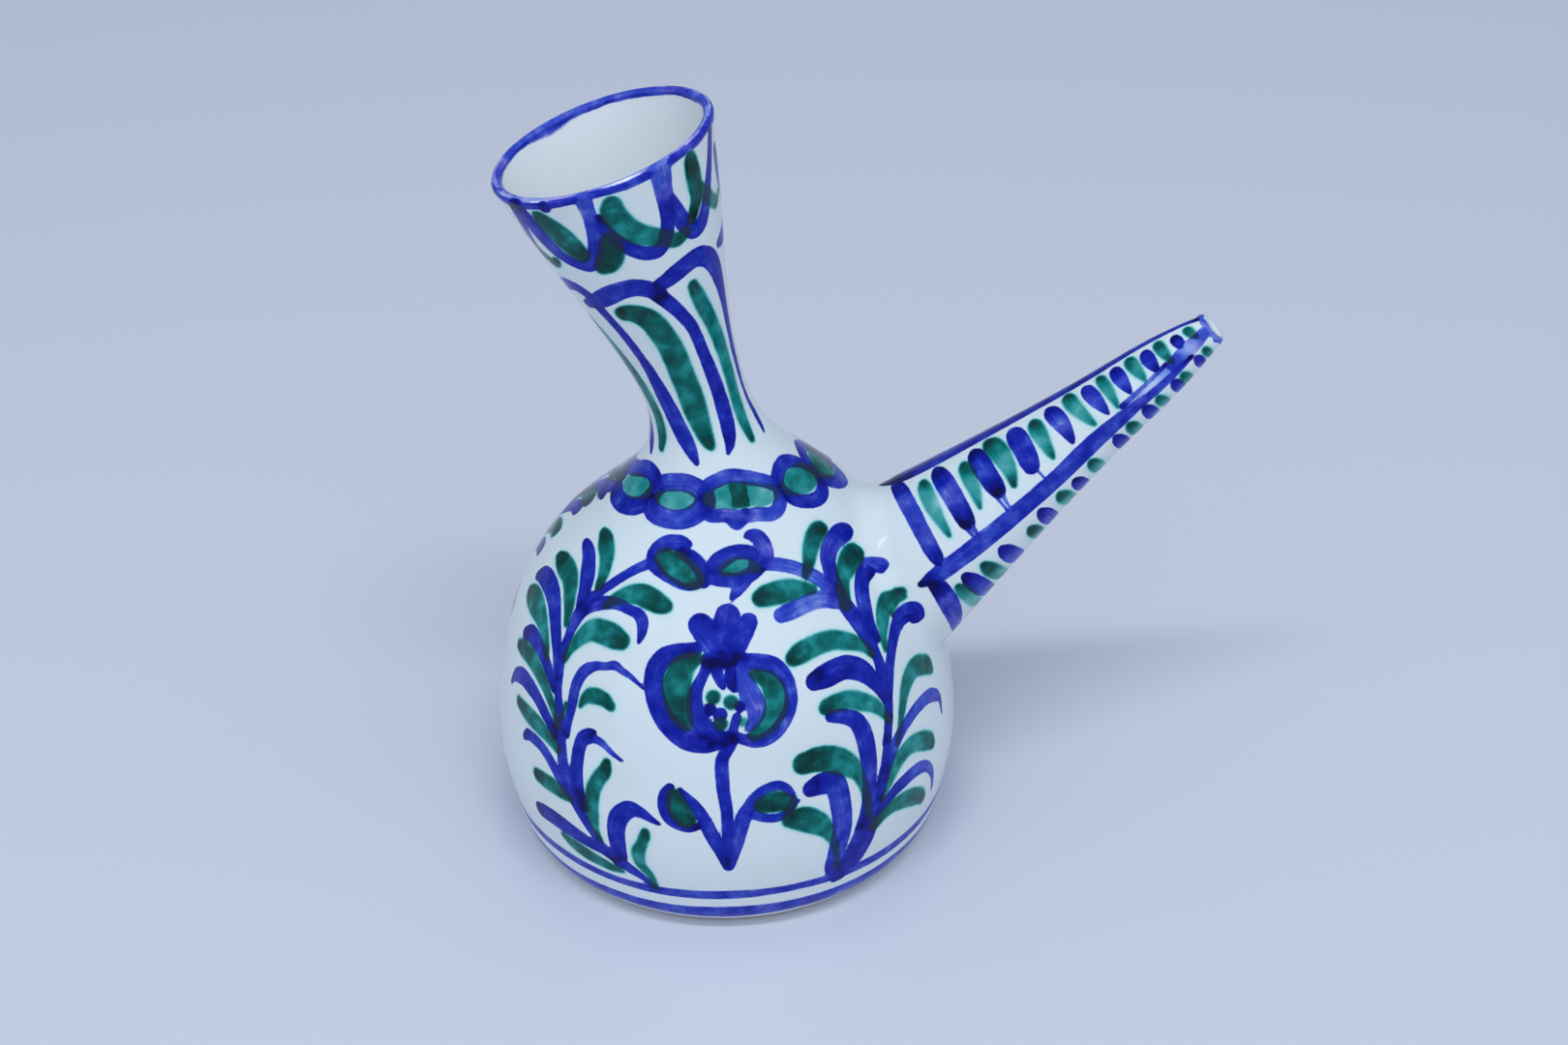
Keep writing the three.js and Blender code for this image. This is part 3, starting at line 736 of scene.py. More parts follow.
SPRAY_GREEN = [
    # leaves at the stem's foot
    [(9.4, 53.9, 2.8), (12.6, 54.4, 3.6), (15.6, 53.2, 2.8)],
    [(-11.7, 57.4, 2.4), (-10.8, 53.4, 3.5), (-9, 49.6, 3.3)],
    # fruit
    [(-6.4, 98.3, 1.8), (-10.6, 95.7, 3.6), (-11.9, 90.8, 4.4), (-11, 85, 3.8), (-9, 80.6, 2.4)],
    [(9.8, 93.8, 1.6), (13.6, 91.4, 3), (15, 87, 3.6), (14.2, 82.5, 3.5), (11.4, 78.8, 2.8),
     (8.2, 76.8, 1.8)],
    [(-1.8, 88.3, 2.2)],
    [(2.9, 86.8, 2.3)],
    [(0, 80.8, 2.2)],
    (0.6, [(5.8, 81, 1.6)]),
    # small flowers
    (0.88, [(-24.5, 120, 3.2), (-19.5, 118.8, 4.2), (-13.5, 117.3, 4.2), (-9, 116, 3)]),
    (0.75, [(3.5, 117.9, 2), (8, 118.2, 2.9), (12.5, 117.9, 2.4), (16.5, 117.4, 1.8)]),
    # right branch, inner leaves
    [(15.9, 47.3, 3), (19, 46.3, 4.2), (22.2, 43.3, 3.9), (24.6, 39.5, 2.6), (26, 35, 1.6), (27.2, 30, 1.3),
     (27.6, 22, 1)],
    [(20.3, 65.2, 3.6), (24.2, 65.2, 4.1), (28.4, 63, 4.3), (32, 59.3, 3.6), (34.2, 55, 2.2),
     (35.6, 49, 1.7), (36.2, 42, 1.6), (36.9, 36.8, 0.9)],
    [(28.3, 80.3, 2.6), (31.8, 80.4, 2.9), (35.7, 79.4, 3.1), (39.6, 76.7, 2.8), (42.6, 73.9, 2.3),
     (44.8, 70.3, 1.7), (46.4, 66.2, 1)],
    [(21.9, 95.8, 2.5), (24.8, 96.7, 3.2), (29.8, 97.3, 3.2), (34.4, 97.1, 3.1), (38.3, 95.8, 2.9),
     (41.6, 94, 2.6), (44.6, 91.6, 2), (46.7, 88, 1.2)],
    [(15.7, 110.8, 2.6), (18.6, 111.1, 3.2), (23.2, 111.1, 3.4), (27.8, 110.9, 3.1), (31.8, 110.3, 2.2),
     (35.7, 109.3, 1.6)],
    # right branch, outer leaves
    [(38.1, 33.5, 2.5), (41.3, 35.5, 2.3), (45, 36.3, 2.8), (48.8, 35.3, 3.4), (52.5, 33, 3.4),
     (55.3, 30.5, 2.8), (56.6, 28, 2)],
    [(40.6, 41.5, 0.8), (42.8, 45.3, 1.4), (45.3, 49.5, 2.4), (48.1, 52.3, 3), (51.3, 53.5, 3.1),
     (54.4, 52.8, 3.2), (57.5, 50.8, 3.3), (60.3, 48.3, 3), (61.9, 45.8, 1.8)],
    [(47.5, 57.5, 1), (49.1, 61.5, 1.2), (50.8, 65.5, 1.7), (52.4, 69, 2.1), (54.4, 72.3, 2.7),
     (57.3, 74.8, 3.3), (60.6, 75.3, 3.4), (63.9, 73.8, 3.4), (66.9, 71.3, 3), (68.5, 68.5, 1.6)],
    [(51.8, 87, 1.2), (52.8, 90.5, 1.8), (55.1, 93.8, 2.8), (58, 96, 3.2), (61.3, 97.2, 3.1),
     (64.5, 97.3, 2.9)],
    [(44.9, 103, 2.2), (46.9, 106, 2.4), (49.8, 108.5, 2.7), (53.4, 109.6, 3.3), (57.3, 110.3, 3.6),
     (61, 110.3, 3.2), (63, 110, 2.2)],
    [(35.4, 112.5, 1.3), (38.3, 114, 1.9), (42.3, 116.3, 2.5), (46.9, 117.9, 2.8), (50.8, 118.6, 2.8),
     (54.1, 118.8, 2.4), (56, 118.4, 1.4)],
    # left branch, outer leaves
    [(-43.1, 27.3, 1.6), (-40.6, 26, 2.6), (-36.9, 24.8, 3), (-32.5, 23.8, 2.6), (-28.8, 23, 2),
     (-26.3, 23, 1.4)],
    [(-51.9, 45.3, 2.4), (-48.8, 45.6, 2.9), (-45, 45.8, 2.9), (-41.9, 45.3, 2.2), (-39.4, 44.8, 1.2)],
    [(-64, 63.2, 2), (-60, 63, 2.9), (-56, 63, 3.2), (-52, 62.6, 3), (-48, 61.3, 2.3), (-44.5, 59.5, 1.6)],
    [(-71.1, 78.5, 1.8), (-67.8, 79.5, 2.8), (-63.8, 80.2, 3.2), (-59.9, 79.8, 3.1), (-56, 78.3, 2.7),
     (-52.7, 76.3, 2.3), (-49.7, 73.5, 1.9), (-47.4, 70.5, 1.7), (-45.5, 67.5, 1.5)],
    [(-78.6, 91.8, 2.4), (-75, 92.5, 3.9), (-71.1, 92.8, 4.2), (-67.1, 92.5, 3.6), (-63.5, 91.4, 2.9),
     (-60.2, 89.5, 2.4), (-57.3, 87, 1.9), (-55.3, 84.5, 1.2)],
    [(-76, 105.8, 1.9), (-72.4, 106.2, 3.2), (-67.8, 106.2, 3.8), (-63.5, 105.8, 3.6), (-59.9, 104.3, 3.2),
     (-57, 102, 2.8), (-54.3, 99, 2), (-52.8, 96, 1.2)],
    [(-65.5, 119, 1.5), (-61.9, 118.6, 2.6), (-57.9, 117.5, 3.2), (-54, 116.1, 3), (-51, 114, 2.6),
     (-48.8, 111.3, 2.1), (-47.8, 108.5, 1.6)],
    # left branch, inner leaves
    [(-17.5, 19, 1.2), (-18.4, 24, 1.6), (-20.6, 29, 2), (-20.9, 33.5, 2.4), (-20, 37, 2),
     (-19.1, 40.5, 1.9), (-18.8, 42.8, 1.4)],
    [(-30.9, 34, 1), (-32.2, 38, 1.5), (-32.8, 42, 2.4), (-33.1, 46, 2.6), (-33.1, 50, 2.7),
     (-32.5, 53.5, 2.6), (-31.3, 57, 2.5), (-29.7, 60.5, 2.2), (-29.3, 63.5, 1.4)],
    [(-39.2, 77.5, 0.8), (-37.9, 80.5, 1.8), (-35.6, 82.3, 2.6), (-32.3, 82.5, 2.4), (-29.9, 81.3, 1.8)],
    [(-44.8, 70.5, 0.9), (-44.2, 73.5, 1), (-43.9, 76, 0.8)],
    [(-48.4, 87.5, 1.3), (-47.4, 91.5, 1.8), (-45.1, 95.5, 2.6), (-42.2, 98.5, 3.4), (-38.3, 99.3, 3.7),
     (-34.3, 99.3, 3.7), (-31, 99, 2.8)],
    [(-40.9, 105.5, 1.4), (-38.3, 108, 2.2), (-34.3, 110, 3), (-29.7, 110.9, 3.5), (-25.1, 110.5, 3.5),
     (-21.2, 109.8, 3), (-18.9, 109.5, 2.2)],
]
SPRAY_FULLNESS = 1.07
SPRAY_BACK_TURN = 202
SPRAY_BACK_LIFT = 9
SPRAY_BACK_JITTER = 0.8

# Chain of ovals round the shoulder. Each blue mark: tone, half-width, then its places. The lighter tones of
# the middle ovals are partly the brush's load and partly a painted reflection of the sky on the shoulder
CHAIN_BLUE = [
    (1, 3, [(-110, 130.5), (-95.3, 132.1), (-80.7, 134.8), (-66, 137.5), (-55.7, 137.9), (-48.4, 136.6),
            (-44.7, 134)]),
    (1, 3.3, [(-90.9, 126.8), (-80.7, 126.2), (-68.9, 126.6), (-58.7, 127.8), (-51.3, 129.7),
              (-46.2, 132.5)]),
    (0.8, 3, [(-45.5, 133.6), (-39.6, 136.4), (-27.9, 137.5), (-17.6, 137.5), (-8.8, 136.1), (-3.7, 134)]),
    (0.8, 3.3, [(-46.2, 131.3), (-39.6, 129.1), (-27.9, 128.5), (-17.6, 128.9), (-8.8, 130.5),
                (-3.7, 132.8)]),
    (0.72, 2.3, [(-5.1, 133.8), (-1.5, 136.4), (7.3, 137.5), (17.6, 137.8), (27.9, 136.4), (36.7, 134.6),
                 (44, 132.6), (48.4, 130.5)]),
    (0.76, 2.3, [(-5.1, 131.9), (-1.5, 129.7), (7.3, 129.2), (16.1, 128.2), (26.4, 127.5), (35.2, 126.4),
                 (42.5, 127.4), (48.4, 130.1)]),
    (0.95, 2.4, [(48.4, 130.7), (54.3, 132.8), (63, 133.7), (71.9, 132.8), (79.2, 130.4), (84.3, 127)]),
    (0.95, 2.4, [(48.7, 129.5), (52.8, 126.3), (60.1, 124.1), (68.9, 123), (77.7, 123.6), (83.6, 126)]),
    (0.9, 2.6, [(84.3, 127), (89, 129), (97, 130), (105, 129), (112, 126)]),
    (0.9, 2.6, [(82, 124), (88, 120.8), (96, 118.8), (105, 118.5), (112, 121)]),
    (0.72, 2, [(5.8, 129.4), (10.5, 128.2), (13, 126.8), (16.5, 127.3), (20, 128.4)]),
]
# Green cores with tones below 1 are lighter green, partly for a painted highlight on each oval
CHAIN_GREEN = [
    (0.75, [(-102, 127, 2.6), (-93, 128.2, 2.6)]),
    (0.52, [(-80, 130.6, 3.3), (-67, 132, 4.6), (-56, 133.1, 3.5)]),
    (0.55, [(-38, 132.9, 2.4), (-28, 133, 3.4), (-16, 133.3, 2.9)]),
    (0.52, [(1, 133.2, 2.8), (8, 133.3, 3.7), (13, 133.1, 4.1)]),
    (0.8, [(16, 133, 4.2), (23, 132.4, 4.1)]),
    (0.45, [(28, 132, 3.9), (33, 131, 3.8), (41.5, 130.2, 2.9)]),
    (0.62, [(55, 129.2, 2.8), (63, 128.6, 4.5), (73, 127.8, 4.6), (80, 127.2, 3)]),
    (0.75, [(87, 124.6, 2.8), (90, 124.7, 3.6), (97, 124.2, 5.4), (106, 123.6, 5), (111, 123.4, 3)]),
]

# Its ovals round the back, which follow the slope of the chain
CHAIN_BACK_ANGLES = (131, 171, 211, 250)
CHAIN_KNOTS = 7
CHAIN_WIDTH = 2.7
CHAIN_FILL = 3.2
CHAIN_HALF_ANGLE = 20
CHAIN_HALF_HEIGHT = 5
CHAIN_MEAN_HEIGHT = 127.6
CHAIN_SWING = 5.5
CHAIN_TOP_ANGLE = -15

# Arches on the neck, with a long leaf in each, and the repeats of one arch round the back
ARCH_BLUE = [
    [(-46.5, 202.8, 1.8), (-36.7, 204, 2.7), (-27.9, 205.5, 3.3), (-19, 206.9, 3.5), (-10.3, 207.8, 3.4),
     (-1.5, 207.6, 3.3), (5.9, 205.7, 3), (11.7, 202.6, 2.5)],
    [(10.5, 202.5, 2.5), (16.4, 198.1, 2.3), (22.7, 192.2, 2.1), (27.7, 186.8, 2), (30.1, 180.5, 2),
     (31.5, 175, 2.1), (33.4, 168.8, 2.3), (34.5, 161.8, 2.4), (34.2, 155.5, 2.6), (32.3, 150, 2.5),
     (28.4, 145.9, 1.8), (23, 143.5, 0.8)],
    [(-80, 205.5, 2.2), (-70.4, 207.5, 2.2), (-61.6, 208.9, 2.6), (-52.8, 209.9, 2.6), (-45.5, 209.3, 2.6),
     (-40.3, 207.5, 2.4), (-36.7, 205.5, 2)],
]
ARCH_LEFT_LEG = [
    [(-37, 202.5, 2.2), (-33.7, 196.9, 1.9), (-30.8, 191.8, 1.8), (-28.9, 186.4, 1.8), (-27.1, 180.5, 1.8),
     (-26.3, 175, 2.1), (-26.1, 169.6, 2.5), (-26, 164.9, 2.8), (-24.5, 160.2, 2.9), (-22, 155.5, 2.9),
     (-17.6, 150.8, 2.8), (-12.5, 146.5, 2.2), (-8, 142.8, 1)],
]
ARCH_LEG_STEP = -58.5
ARCH_REPEATED = [
    [(8.8, 205.9, 1.6), (17.6, 206.1, 2.7), (26.4, 207.1, 3.2), (35.2, 208, 3.3), (44, 208.2, 3.3),
     (52.1, 206.4, 3.3), (58.7, 203.2, 3.4), (63.8, 198.5, 3.2), (67.2, 193, 2.6), (70.1, 186.8, 2.1),
     (72.2, 179.7, 1.8), (73.3, 172.7, 1.6), (74.1, 164.9, 1.4), (74.5, 158.6, 1.1), (75.5, 153.2, 1.1),
     (77, 148.5, 1.4), (74.8, 144.6, 1.2), (71.9, 142.4, 0.6)],
]
ARCH_GREEN = [
    [(-18.6, 199, 2.5), (-13.2, 198.9, 3), (-5.9, 196.9, 3.3), (-0.7, 193, 3.3), (2.2, 187.5, 3.3),
     (4.1, 181.3, 3.3), (3.9, 172, 3.3), (3.7, 163.3, 3.3), (3.7, 157.8, 3.1), (4.6, 152.8, 2.6),
     (6.8, 148.6, 1.9), (8.8, 146.6, 1.2)],
    [(-64.5, 194.6, 2), (-60.1, 188.3, 2.4), (-56.5, 180.5, 2.6), (-53.5, 172.7, 2.6), (-50.2, 164.9, 2.3),
     (-47.7, 157.1, 2), (-47.2, 150.8, 1.9), (-49.1, 146.1, 1.3)],
]
ARCH_GREEN_REPEATED = [
    [(36.7, 200.4, 1.6), (39.3, 196.1, 2.2), (42.8, 190.7, 2.3), (47.2, 185.2, 2.3), (51.3, 178.9, 2.3),
     (54, 172.7, 2.2), (55, 166.4, 2.1), (55, 160.2, 2), (54, 153.9, 2), (53.1, 148.5, 1.8),
     (52.5, 143.8, 1.2)],
]
ARCH_LEAF_FULLNESS = 1.18
ARCH_STEP = 62
ARCH_REPEATS = 4

# Scallops below the lip
SCALLOP_BLUE = [
    [(-6, 242, 2.8, 0.5), (-6.5, 238, 2.4, 0.6), (-7, 234.5, 2.3, 0.85), (-9, 229.2, 2.3),
     (-12.5, 224, 2.5), (-17.6, 220, 2.5), (-23.5, 218.2, 2.4), (-30, 219.2, 2.2), (-36.7, 222, 2.7),
     (-41, 225.4, 3.2), (-43.5, 230, 3.6), (-44.5, 235.2, 3.6), (-46, 241, 3.4)],
    [(-3.4, 234, 1.6), (-1.6, 228, 2), (2, 223.6, 2.2), (7.3, 220, 2.4), (13.9, 217.5, 2.5),
     (20.5, 217, 2.5), (25.6, 218.9, 2.4), (29, 222, 2.4), (31.4, 226, 2.6), (32.4, 230, 2.8, 0.95),
     (32.6, 234, 3, 0.7), (33.2, 238, 3.4, 0.5), (33.8, 242, 3.9, 0.4)],
]
SCALLOP_REPEATED = [
    [(33.6, 233, 1.8), (35.2, 229, 2.5), (37.4, 225, 2.8), (41, 220.4, 2.8), (46.5, 217, 3),
     (53.5, 217.2, 3), (58.5, 220, 2.8), (63, 224, 2.4), (67, 228.5, 2.2), (71, 233.5, 2.1),
     (75, 240, 2.1)],
]
SCALLOP_GREEN = [
    [(-33.8, 237, 2.8), (-32, 234.5, 3.8), (-29.4, 231, 4.6), (-26.6, 227, 4.4), (-24, 223, 3.4)],
    [(-2.6, 226, 2.8), (-5.2, 221.7, 3.8), (-9.4, 218.6, 3.8), (-14.8, 216.8, 2.6)],
    [(5.8, 237, 3, 0.8), (4.8, 234, 3.8, 0.85), (7, 229, 4), (12.5, 224.9, 3.7), (20, 221.9, 3.2),
     (27, 219.4, 2.8), (33, 217.4, 2.5), (40, 217.8, 2.2)],
]
SCALLOP_GREEN_REPEATED = [
    [(52.3, 238, 2.7), (52.8, 234.5, 3.3), (53.3, 230, 3.3), (53, 226, 2.9), (47, 221, 2.2)],
    [(57, 228, 1.8), (62, 224, 2.6), (68, 220.5, 2.4), (74, 218.5, 2.2), (80, 220, 1.4)],
]
SCALLOP_STEP = 47
SCALLOP_REPEATS = 6

# Bands round the lip: height, half-width and tone of the outer band, the crest, pale at the front from wear
# and a painted highlight, and the inner edge
LIP_BANDS = ((241.3, 1.4, 0.85), (243.8, 1.3, 0.38), (246, 0.7, 0.85))
LIP_INSIDE = (0.7, [(190, 246, 0.6), (205, 246.7, 1.1), (220, 246.9, 1.2), (238, 246.2, 0.7)])
# Round the back, away from the painted highlight, the crest keeps its colour
LIP_CREST = (
    0.72,
    [(62, 243.9, 0.9), (95, 244.2, 1.5), (140, 244.3, 1.7), (190, 244.3, 1.7), (240, 244.3, 1.7),
     (280, 244.2, 1.5), (312, 243.9, 0.9)],
)
LIP_BLOB = [[(-27.4, 240.6, 2.2)]]

# Stripes at the foot
UPPER_STRIPE_HEIGHT = 18.2
UPPER_STRIPE_WIDTH = 2.0
UPPER_STRIPE_DROP = 1.8
LOWER_STRIPE_HEIGHT = 8.6
LOWER_STRIPE_WIDTH = 3.4
STRIPE_TONE = 0.78

# Spout: the lines between its panels, then the leaves of the upper and lower panels from root to tip
SPOUT_RIDGE = [
    (-16, 9.5, 1.6), (-13, 16, 4.4), (-12, 26, 4.8), (-12, 40, 4.1), (-12, 53, 3.5), (-11, 64, 3),
    (-9.5, 76, 2.6), (-9, 87, 2.3), (-9, 98, 1.9), (-8, 109, 1.5), (-5, 115, 1.2), (3, 119, 1.1),
]
RIDGE_TONE = 1.6
SPOUT_SIDE_LINE = [
    (81, 5.5, 1.2), (83.7, 10.8, 2.9), (86, 18.6, 3.2), (88, 26.5, 3.3), (90.9, 42.3, 3.2), (92, 58, 3.1),
    (90.4, 65.9, 3.1), (88.7, 73.8, 3), (88.5, 81.6, 2.6), (88.6, 89.5, 2), (89, 101.3, 1.6), (84, 111, 1.3),
]
SIDE_LINE_TONE = 1.3
SPOUT_BELOW_LINE = [(180, -6, 1.5), (180, 20, 2.6), (178, 60, 2.2), (181, 95, 1.5), (180, 118, 1.2)]
SPOUT_MARKS_BLUE = [
    # the second line above the side line, the pale blue mark between them and the smear at the tip
    [(64, 104, 0.9), (68, 100, 0.9), (71, 94, 0.9), (74, 86.5, 1.1)],
    (0.3, [(79, 92, 0.9), (78, 98, 1.3), (77, 103, 1.6)]),
    (0.6, [(76, 105.5, 2.4), (70, 110, 2.5), (66, 114.5, 2.4), (58, 118.5, 1.8)]),
    # collars at the root
    (1.22, [(-2, 14.4, 2.2), (10, 15.6, 2.8), (30, 16.4, 2.9), (50, 16, 2.8), (64, 15.2, 2.7),
            (72, 14.6, 2.4), (78, 14, 1.4)]),
    (1.22, [(86, 9, 2.6), (95, 8.4, 3.1), (108, 6.8, 3.4), (125, 3.6, 3), (142, -0.6, 2.2),
            (154, -4, 1.2)]),
    # hairs of the brush where three leaves end
    [(64, 29.4, 1.4), (74, 28.9, 0.9), (84, 28.2, 0.6)],
    [(64, 27.4, 1.2), (76, 27.2, 0.7), (84, 27.4, 0.5)],
    [(62, 42.4, 1.2), (72, 41.8, 0.7), (86, 41, 0.55)],
    [(62, 40.4, 0.8), (82, 40, 0.5)],
    [(64, 55, 0.7), (86, 54.8, 0.5)],
]
# Ends of the leaves that run up to the spout's root
ROOT_LEAVES_BLUE = [
    [(86.5, -9, 2.9), (87.5, -4.4, 2.9), (89.8, -2, 2.8), (93, -1.7, 2.9), (96.5, -2.6, 2.8)],
    [(52, -9, 2.8), (50, -4.5, 2.6), (49.8, -1.2, 2.2), (53.5, 0.8, 1.8), (56, -0.5, 1.2)],
]
ROOT_LEAVES_GREEN = [[(79, -10, 3.0), (76, -6, 2.9), (75, -2.5, 2.5), (76, -0.4, 1.8)]]
# Each petal: angle from and to, distance along at its start, middle and end, half-width, and True where it
# ends blunt
UPPER_BLUE_PETALS = [
    (7, 66, 28.2, 29.6, 28.6, 3.3, True),
    (11, 60, 41.2, 41.9, 41.8, 3.3, True),
    (13, 61, 54.5, 55.3, 54.2, 3.4, True),
    (14, 69, 67.3, 68.9, 68.3, 2.9),
    (15, 68, 80.1, 81.3, 81.9, 2.5),
    (15, 64, 90.3, 90.9, 90.9, 2.4),
    (20, 64, 100.8, 100.9, 101.2, 2.3),
    (25, 60, 110.2, 110.8, 110.5, 1.9),
]
UPPER_GREEN_PETALS = [
    (13, 66, 23, 22.7, 21.9, 2.7),
    (19, 63, 36.8, 36.6, 34.4, 2.7),
    (9, 66, 46.3, 48.6, 46.6, 3.4),
    (18, 69, 61.5, 61.6, 60.9, 2.7),
    (9, 69, 74, 75.2, 76.8, 2.6),
    (12, 70, 85.2, 86, 85.3, 2.1),
    (13, 63, 95.5, 96.3, 96.5, 2.3),
    (14, 68, 105.2, 105.6, 106, 2),
    (20, 57, 114.5, 115.2, 116, 1.7),
]
LOWER_BLUE_PETALS = [
    (102, 165, 16.6, 15.6, 12.5, 3.2),
    (109, 165, 30.2, 29.6, 28, 3.2),
    (110, 165, 46.6, 45.8, 43.5, 2.9),
    (114, 165, 60.5, 60.1, 59, 2.6),
    (108, 165, 78.6, 78.1, 77, 2.5),
    (103, 165, 91.1, 90.8, 90, 2.4),
    (103, 165, 102.4, 102.1, 101.5, 2.1),
    (99, 160, 112, 111.7, 111, 1.8),
]
LOWER_GREEN_PETALS = [
    (104, 162, 12.5, 10.6, 7, 2.6),
    (107, 165, 22.8, 22.2, 20.8, 2.9),
    (117, 165, 40.3, 39.3, 37.3, 2.6),
    (112, 165, 54.4, 53.9, 52.4, 2.8),
    (110, 165, 68, 67.6, 66.6, 2.6),
    (107, 165, 84.1, 83.8, 83, 2.4),
    (105, 165, 95.9, 95.8, 95.4, 2.1),
    (105, 162, 105.8, 105.7, 105.4, 1.9),
    (98, 155, 115.3, 115.2, 115, 1.6),
]
TIP_BAND_ALONG = 119.9
TIP_BAND_WIDTH = 1.2
SPOUT_RIDGE_ANGLE = -11
FAR_SIDE_SCALE = (180 + SPOUT_RIDGE_ANGLE) / (180 - SPOUT_RIDGE_ANGLE)
MIRROR_JITTER = 0.7


def far_side(angle):
    """The angle on the spout's far side that answers to an angle on its near side."""
    return SPOUT_RIDGE_ANGLE - (angle - SPOUT_RIDGE_ANGLE) * FAR_SIDE_SCALE


def mirrored(marks):
    """The same strokes on the far side of the spout."""
    other = []
    for tone, knots in map(toned, marks):
        other.append((tone, [(far_side(angle), along, width) for angle, along, width in knots]))
    return other


def paint_jug(blue, green):
    """Lays every stroke of body and neck on the two coats of one piece."""
    for turn, lift, jitter in ((0, 0, 0), (SPRAY_BACK_TURN, SPRAY_BACK_LIFT, SPRAY_BACK_JITTER)):
        blue.strokes(SPRAY_BLUE, turn, lift, jitter, SPRAY_FULLNESS)
        green.strokes(SPRAY_GREEN, turn, lift, jitter, SPRAY_FULLNESS)
    blue.strokes([ring_mark(UPPER_STRIPE_HEIGHT, UPPER_STRIPE_WIDTH, UPPER_STRIPE_DROP, STRIPE_TONE)])
    blue.strokes([ring_mark(LOWER_STRIPE_HEIGHT, LOWER_STRIPE_WIDTH, tone=STRIPE_TONE)])
    blue.strokes([(tone, [(*place, width) for place in places]) for tone, width, places in CHAIN_BLUE])
    green.strokes(CHAIN_GREEN)
    for angle in CHAIN_BACK_ANGLES:
        height = CHAIN_MEAN_HEIGHT + CHAIN_SWING * np.cos(np.radians(angle - CHAIN_TOP_ANGLE))
        blue.strokes(oval_marks(angle, height))
        ends = (angle - CHAIN_HALF_ANGLE / 2, angle + CHAIN_HALF_ANGLE / 2)
        green.strokes([[(end, height, CHAIN_FILL) for end in ends]])
    blue.strokes(ARCH_BLUE + ARCH_LEFT_LEG)
    blue.strokes(ARCH_LEFT_LEG, turn=ARCH_LEG_STEP)
    green.strokes(ARCH_GREEN, fullness=ARCH_LEAF_FULLNESS)
    for i in range(ARCH_REPEATS):
        blue.strokes(ARCH_REPEATED, turn=i * ARCH_STEP)
        green.strokes(ARCH_GREEN_REPEATED, turn=i * ARCH_STEP, fullness=ARCH_LEAF_FULLNESS)
    blue.strokes(SCALLOP_BLUE + LIP_BLOB)
    green.strokes(SCALLOP_GREEN)
    for i in range(SCALLOP_REPEATS):
        blue.strokes(SCALLOP_REPEATED, turn=i * SCALLOP_STEP)
        green.strokes(SCALLOP_GREEN_REPEATED, turn=i * SCALLOP_STEP)
    blue.strokes([ring_mark(height, width, tone=tone) for height, width, tone in LIP_BANDS])
    blue.strokes([LIP_INSIDE, LIP_CREST])


def paint_spout(blue, green):
    """Lays every stroke of the spout on the two coats of one piece."""
    near_blue = SPOUT_MARKS_BLUE + [(SIDE_LINE_TONE, SPOUT_SIDE_LINE)]
    near_blue += [petal(*p) for p in UPPER_BLUE_PETALS + LOWER_BLUE_PETALS]
    near_green = [petal(*p) for p in UPPER_GREEN_PETALS + LOWER_GREEN_PETALS]
    blue.strokes(near_blue + ROOT_LEAVES_BLUE)
    blue.strokes([(RIDGE_TONE, SPOUT_RIDGE), SPOUT_BELOW_LINE])
    green.strokes(near_green + ROOT_LEAVES_GREEN)
    blue.strokes(mirrored(near_blue), jitter=MIRROR_JITTER)
    green.strokes(mirrored(near_green), jitter=MIRROR_JITTER)
    blue.strokes([ring_mark(TIP_BAND_ALONG, TIP_BAND_WIDTH)])


def empty_coats(angle, place, surface, fades):
    """A blue and a green coat without strokes, for a surface's radius and slope at chart places."""
    radius, slope = surface
    return [Coat(angle, place, radius * np.pi / 180, np.hypot(1, slope), fade) for fade in fades]


def jug_coats(angle, height):
    """The two painted coats of body and neck at chart places."""
    coats = empty_coats(angle, height, outer_at(height), (BLUE_FADE, GREEN_FADE))
    paint_jug(*coats)
    return coats


def spout_coats(angle, along):
    """The two painted coats of the spout at chart places."""
    coats = empty_coats(angle, along, spout_at(along), (SPOUT_BLUE_FADE, SPOUT_GREEN_FADE))
    paint_spout(*coats)
    return coats


def keep_values(piece, name, values):
    """Keeps a number or a vector on each vertex of a piece."""
    kind, field = ("FLOAT_VECTOR", "vector") if values.ndim > 1 else ("FLOAT", "value")
    attribute = piece.data.attributes.new(name, kind, "POINT")
    attribute.data.foreach_set(field, values.astype(np.float32).ravel())


def store_coats(piece, coats, painted=True, bare=None, inside=None):
    """Keeps the coats' values on a piece, with where the clay is bare and what lies inside the jug."""
    for name, coat in zip(("blue", "green"), coats):
        keep_values(piece, name + "_reach", np.where(painted, coat.reach, NO_PAINT))
        keep_values(piece, name + "_tone", coat.tone)
        keep_values(piece, name + "_brush", coat.brush)
    nowhere = np.zeros(len(piece.data.vertices))
    keep_values(piece, "bare", nowhere if bare is None else bare)
    keep_values(piece, "inside", nowhere if inside is None else inside)


# Materials. First the places of the colour sockets on a mix node
MIX_FIRST = 6
MIX_SECOND = 7
MIX_RESULT = 2


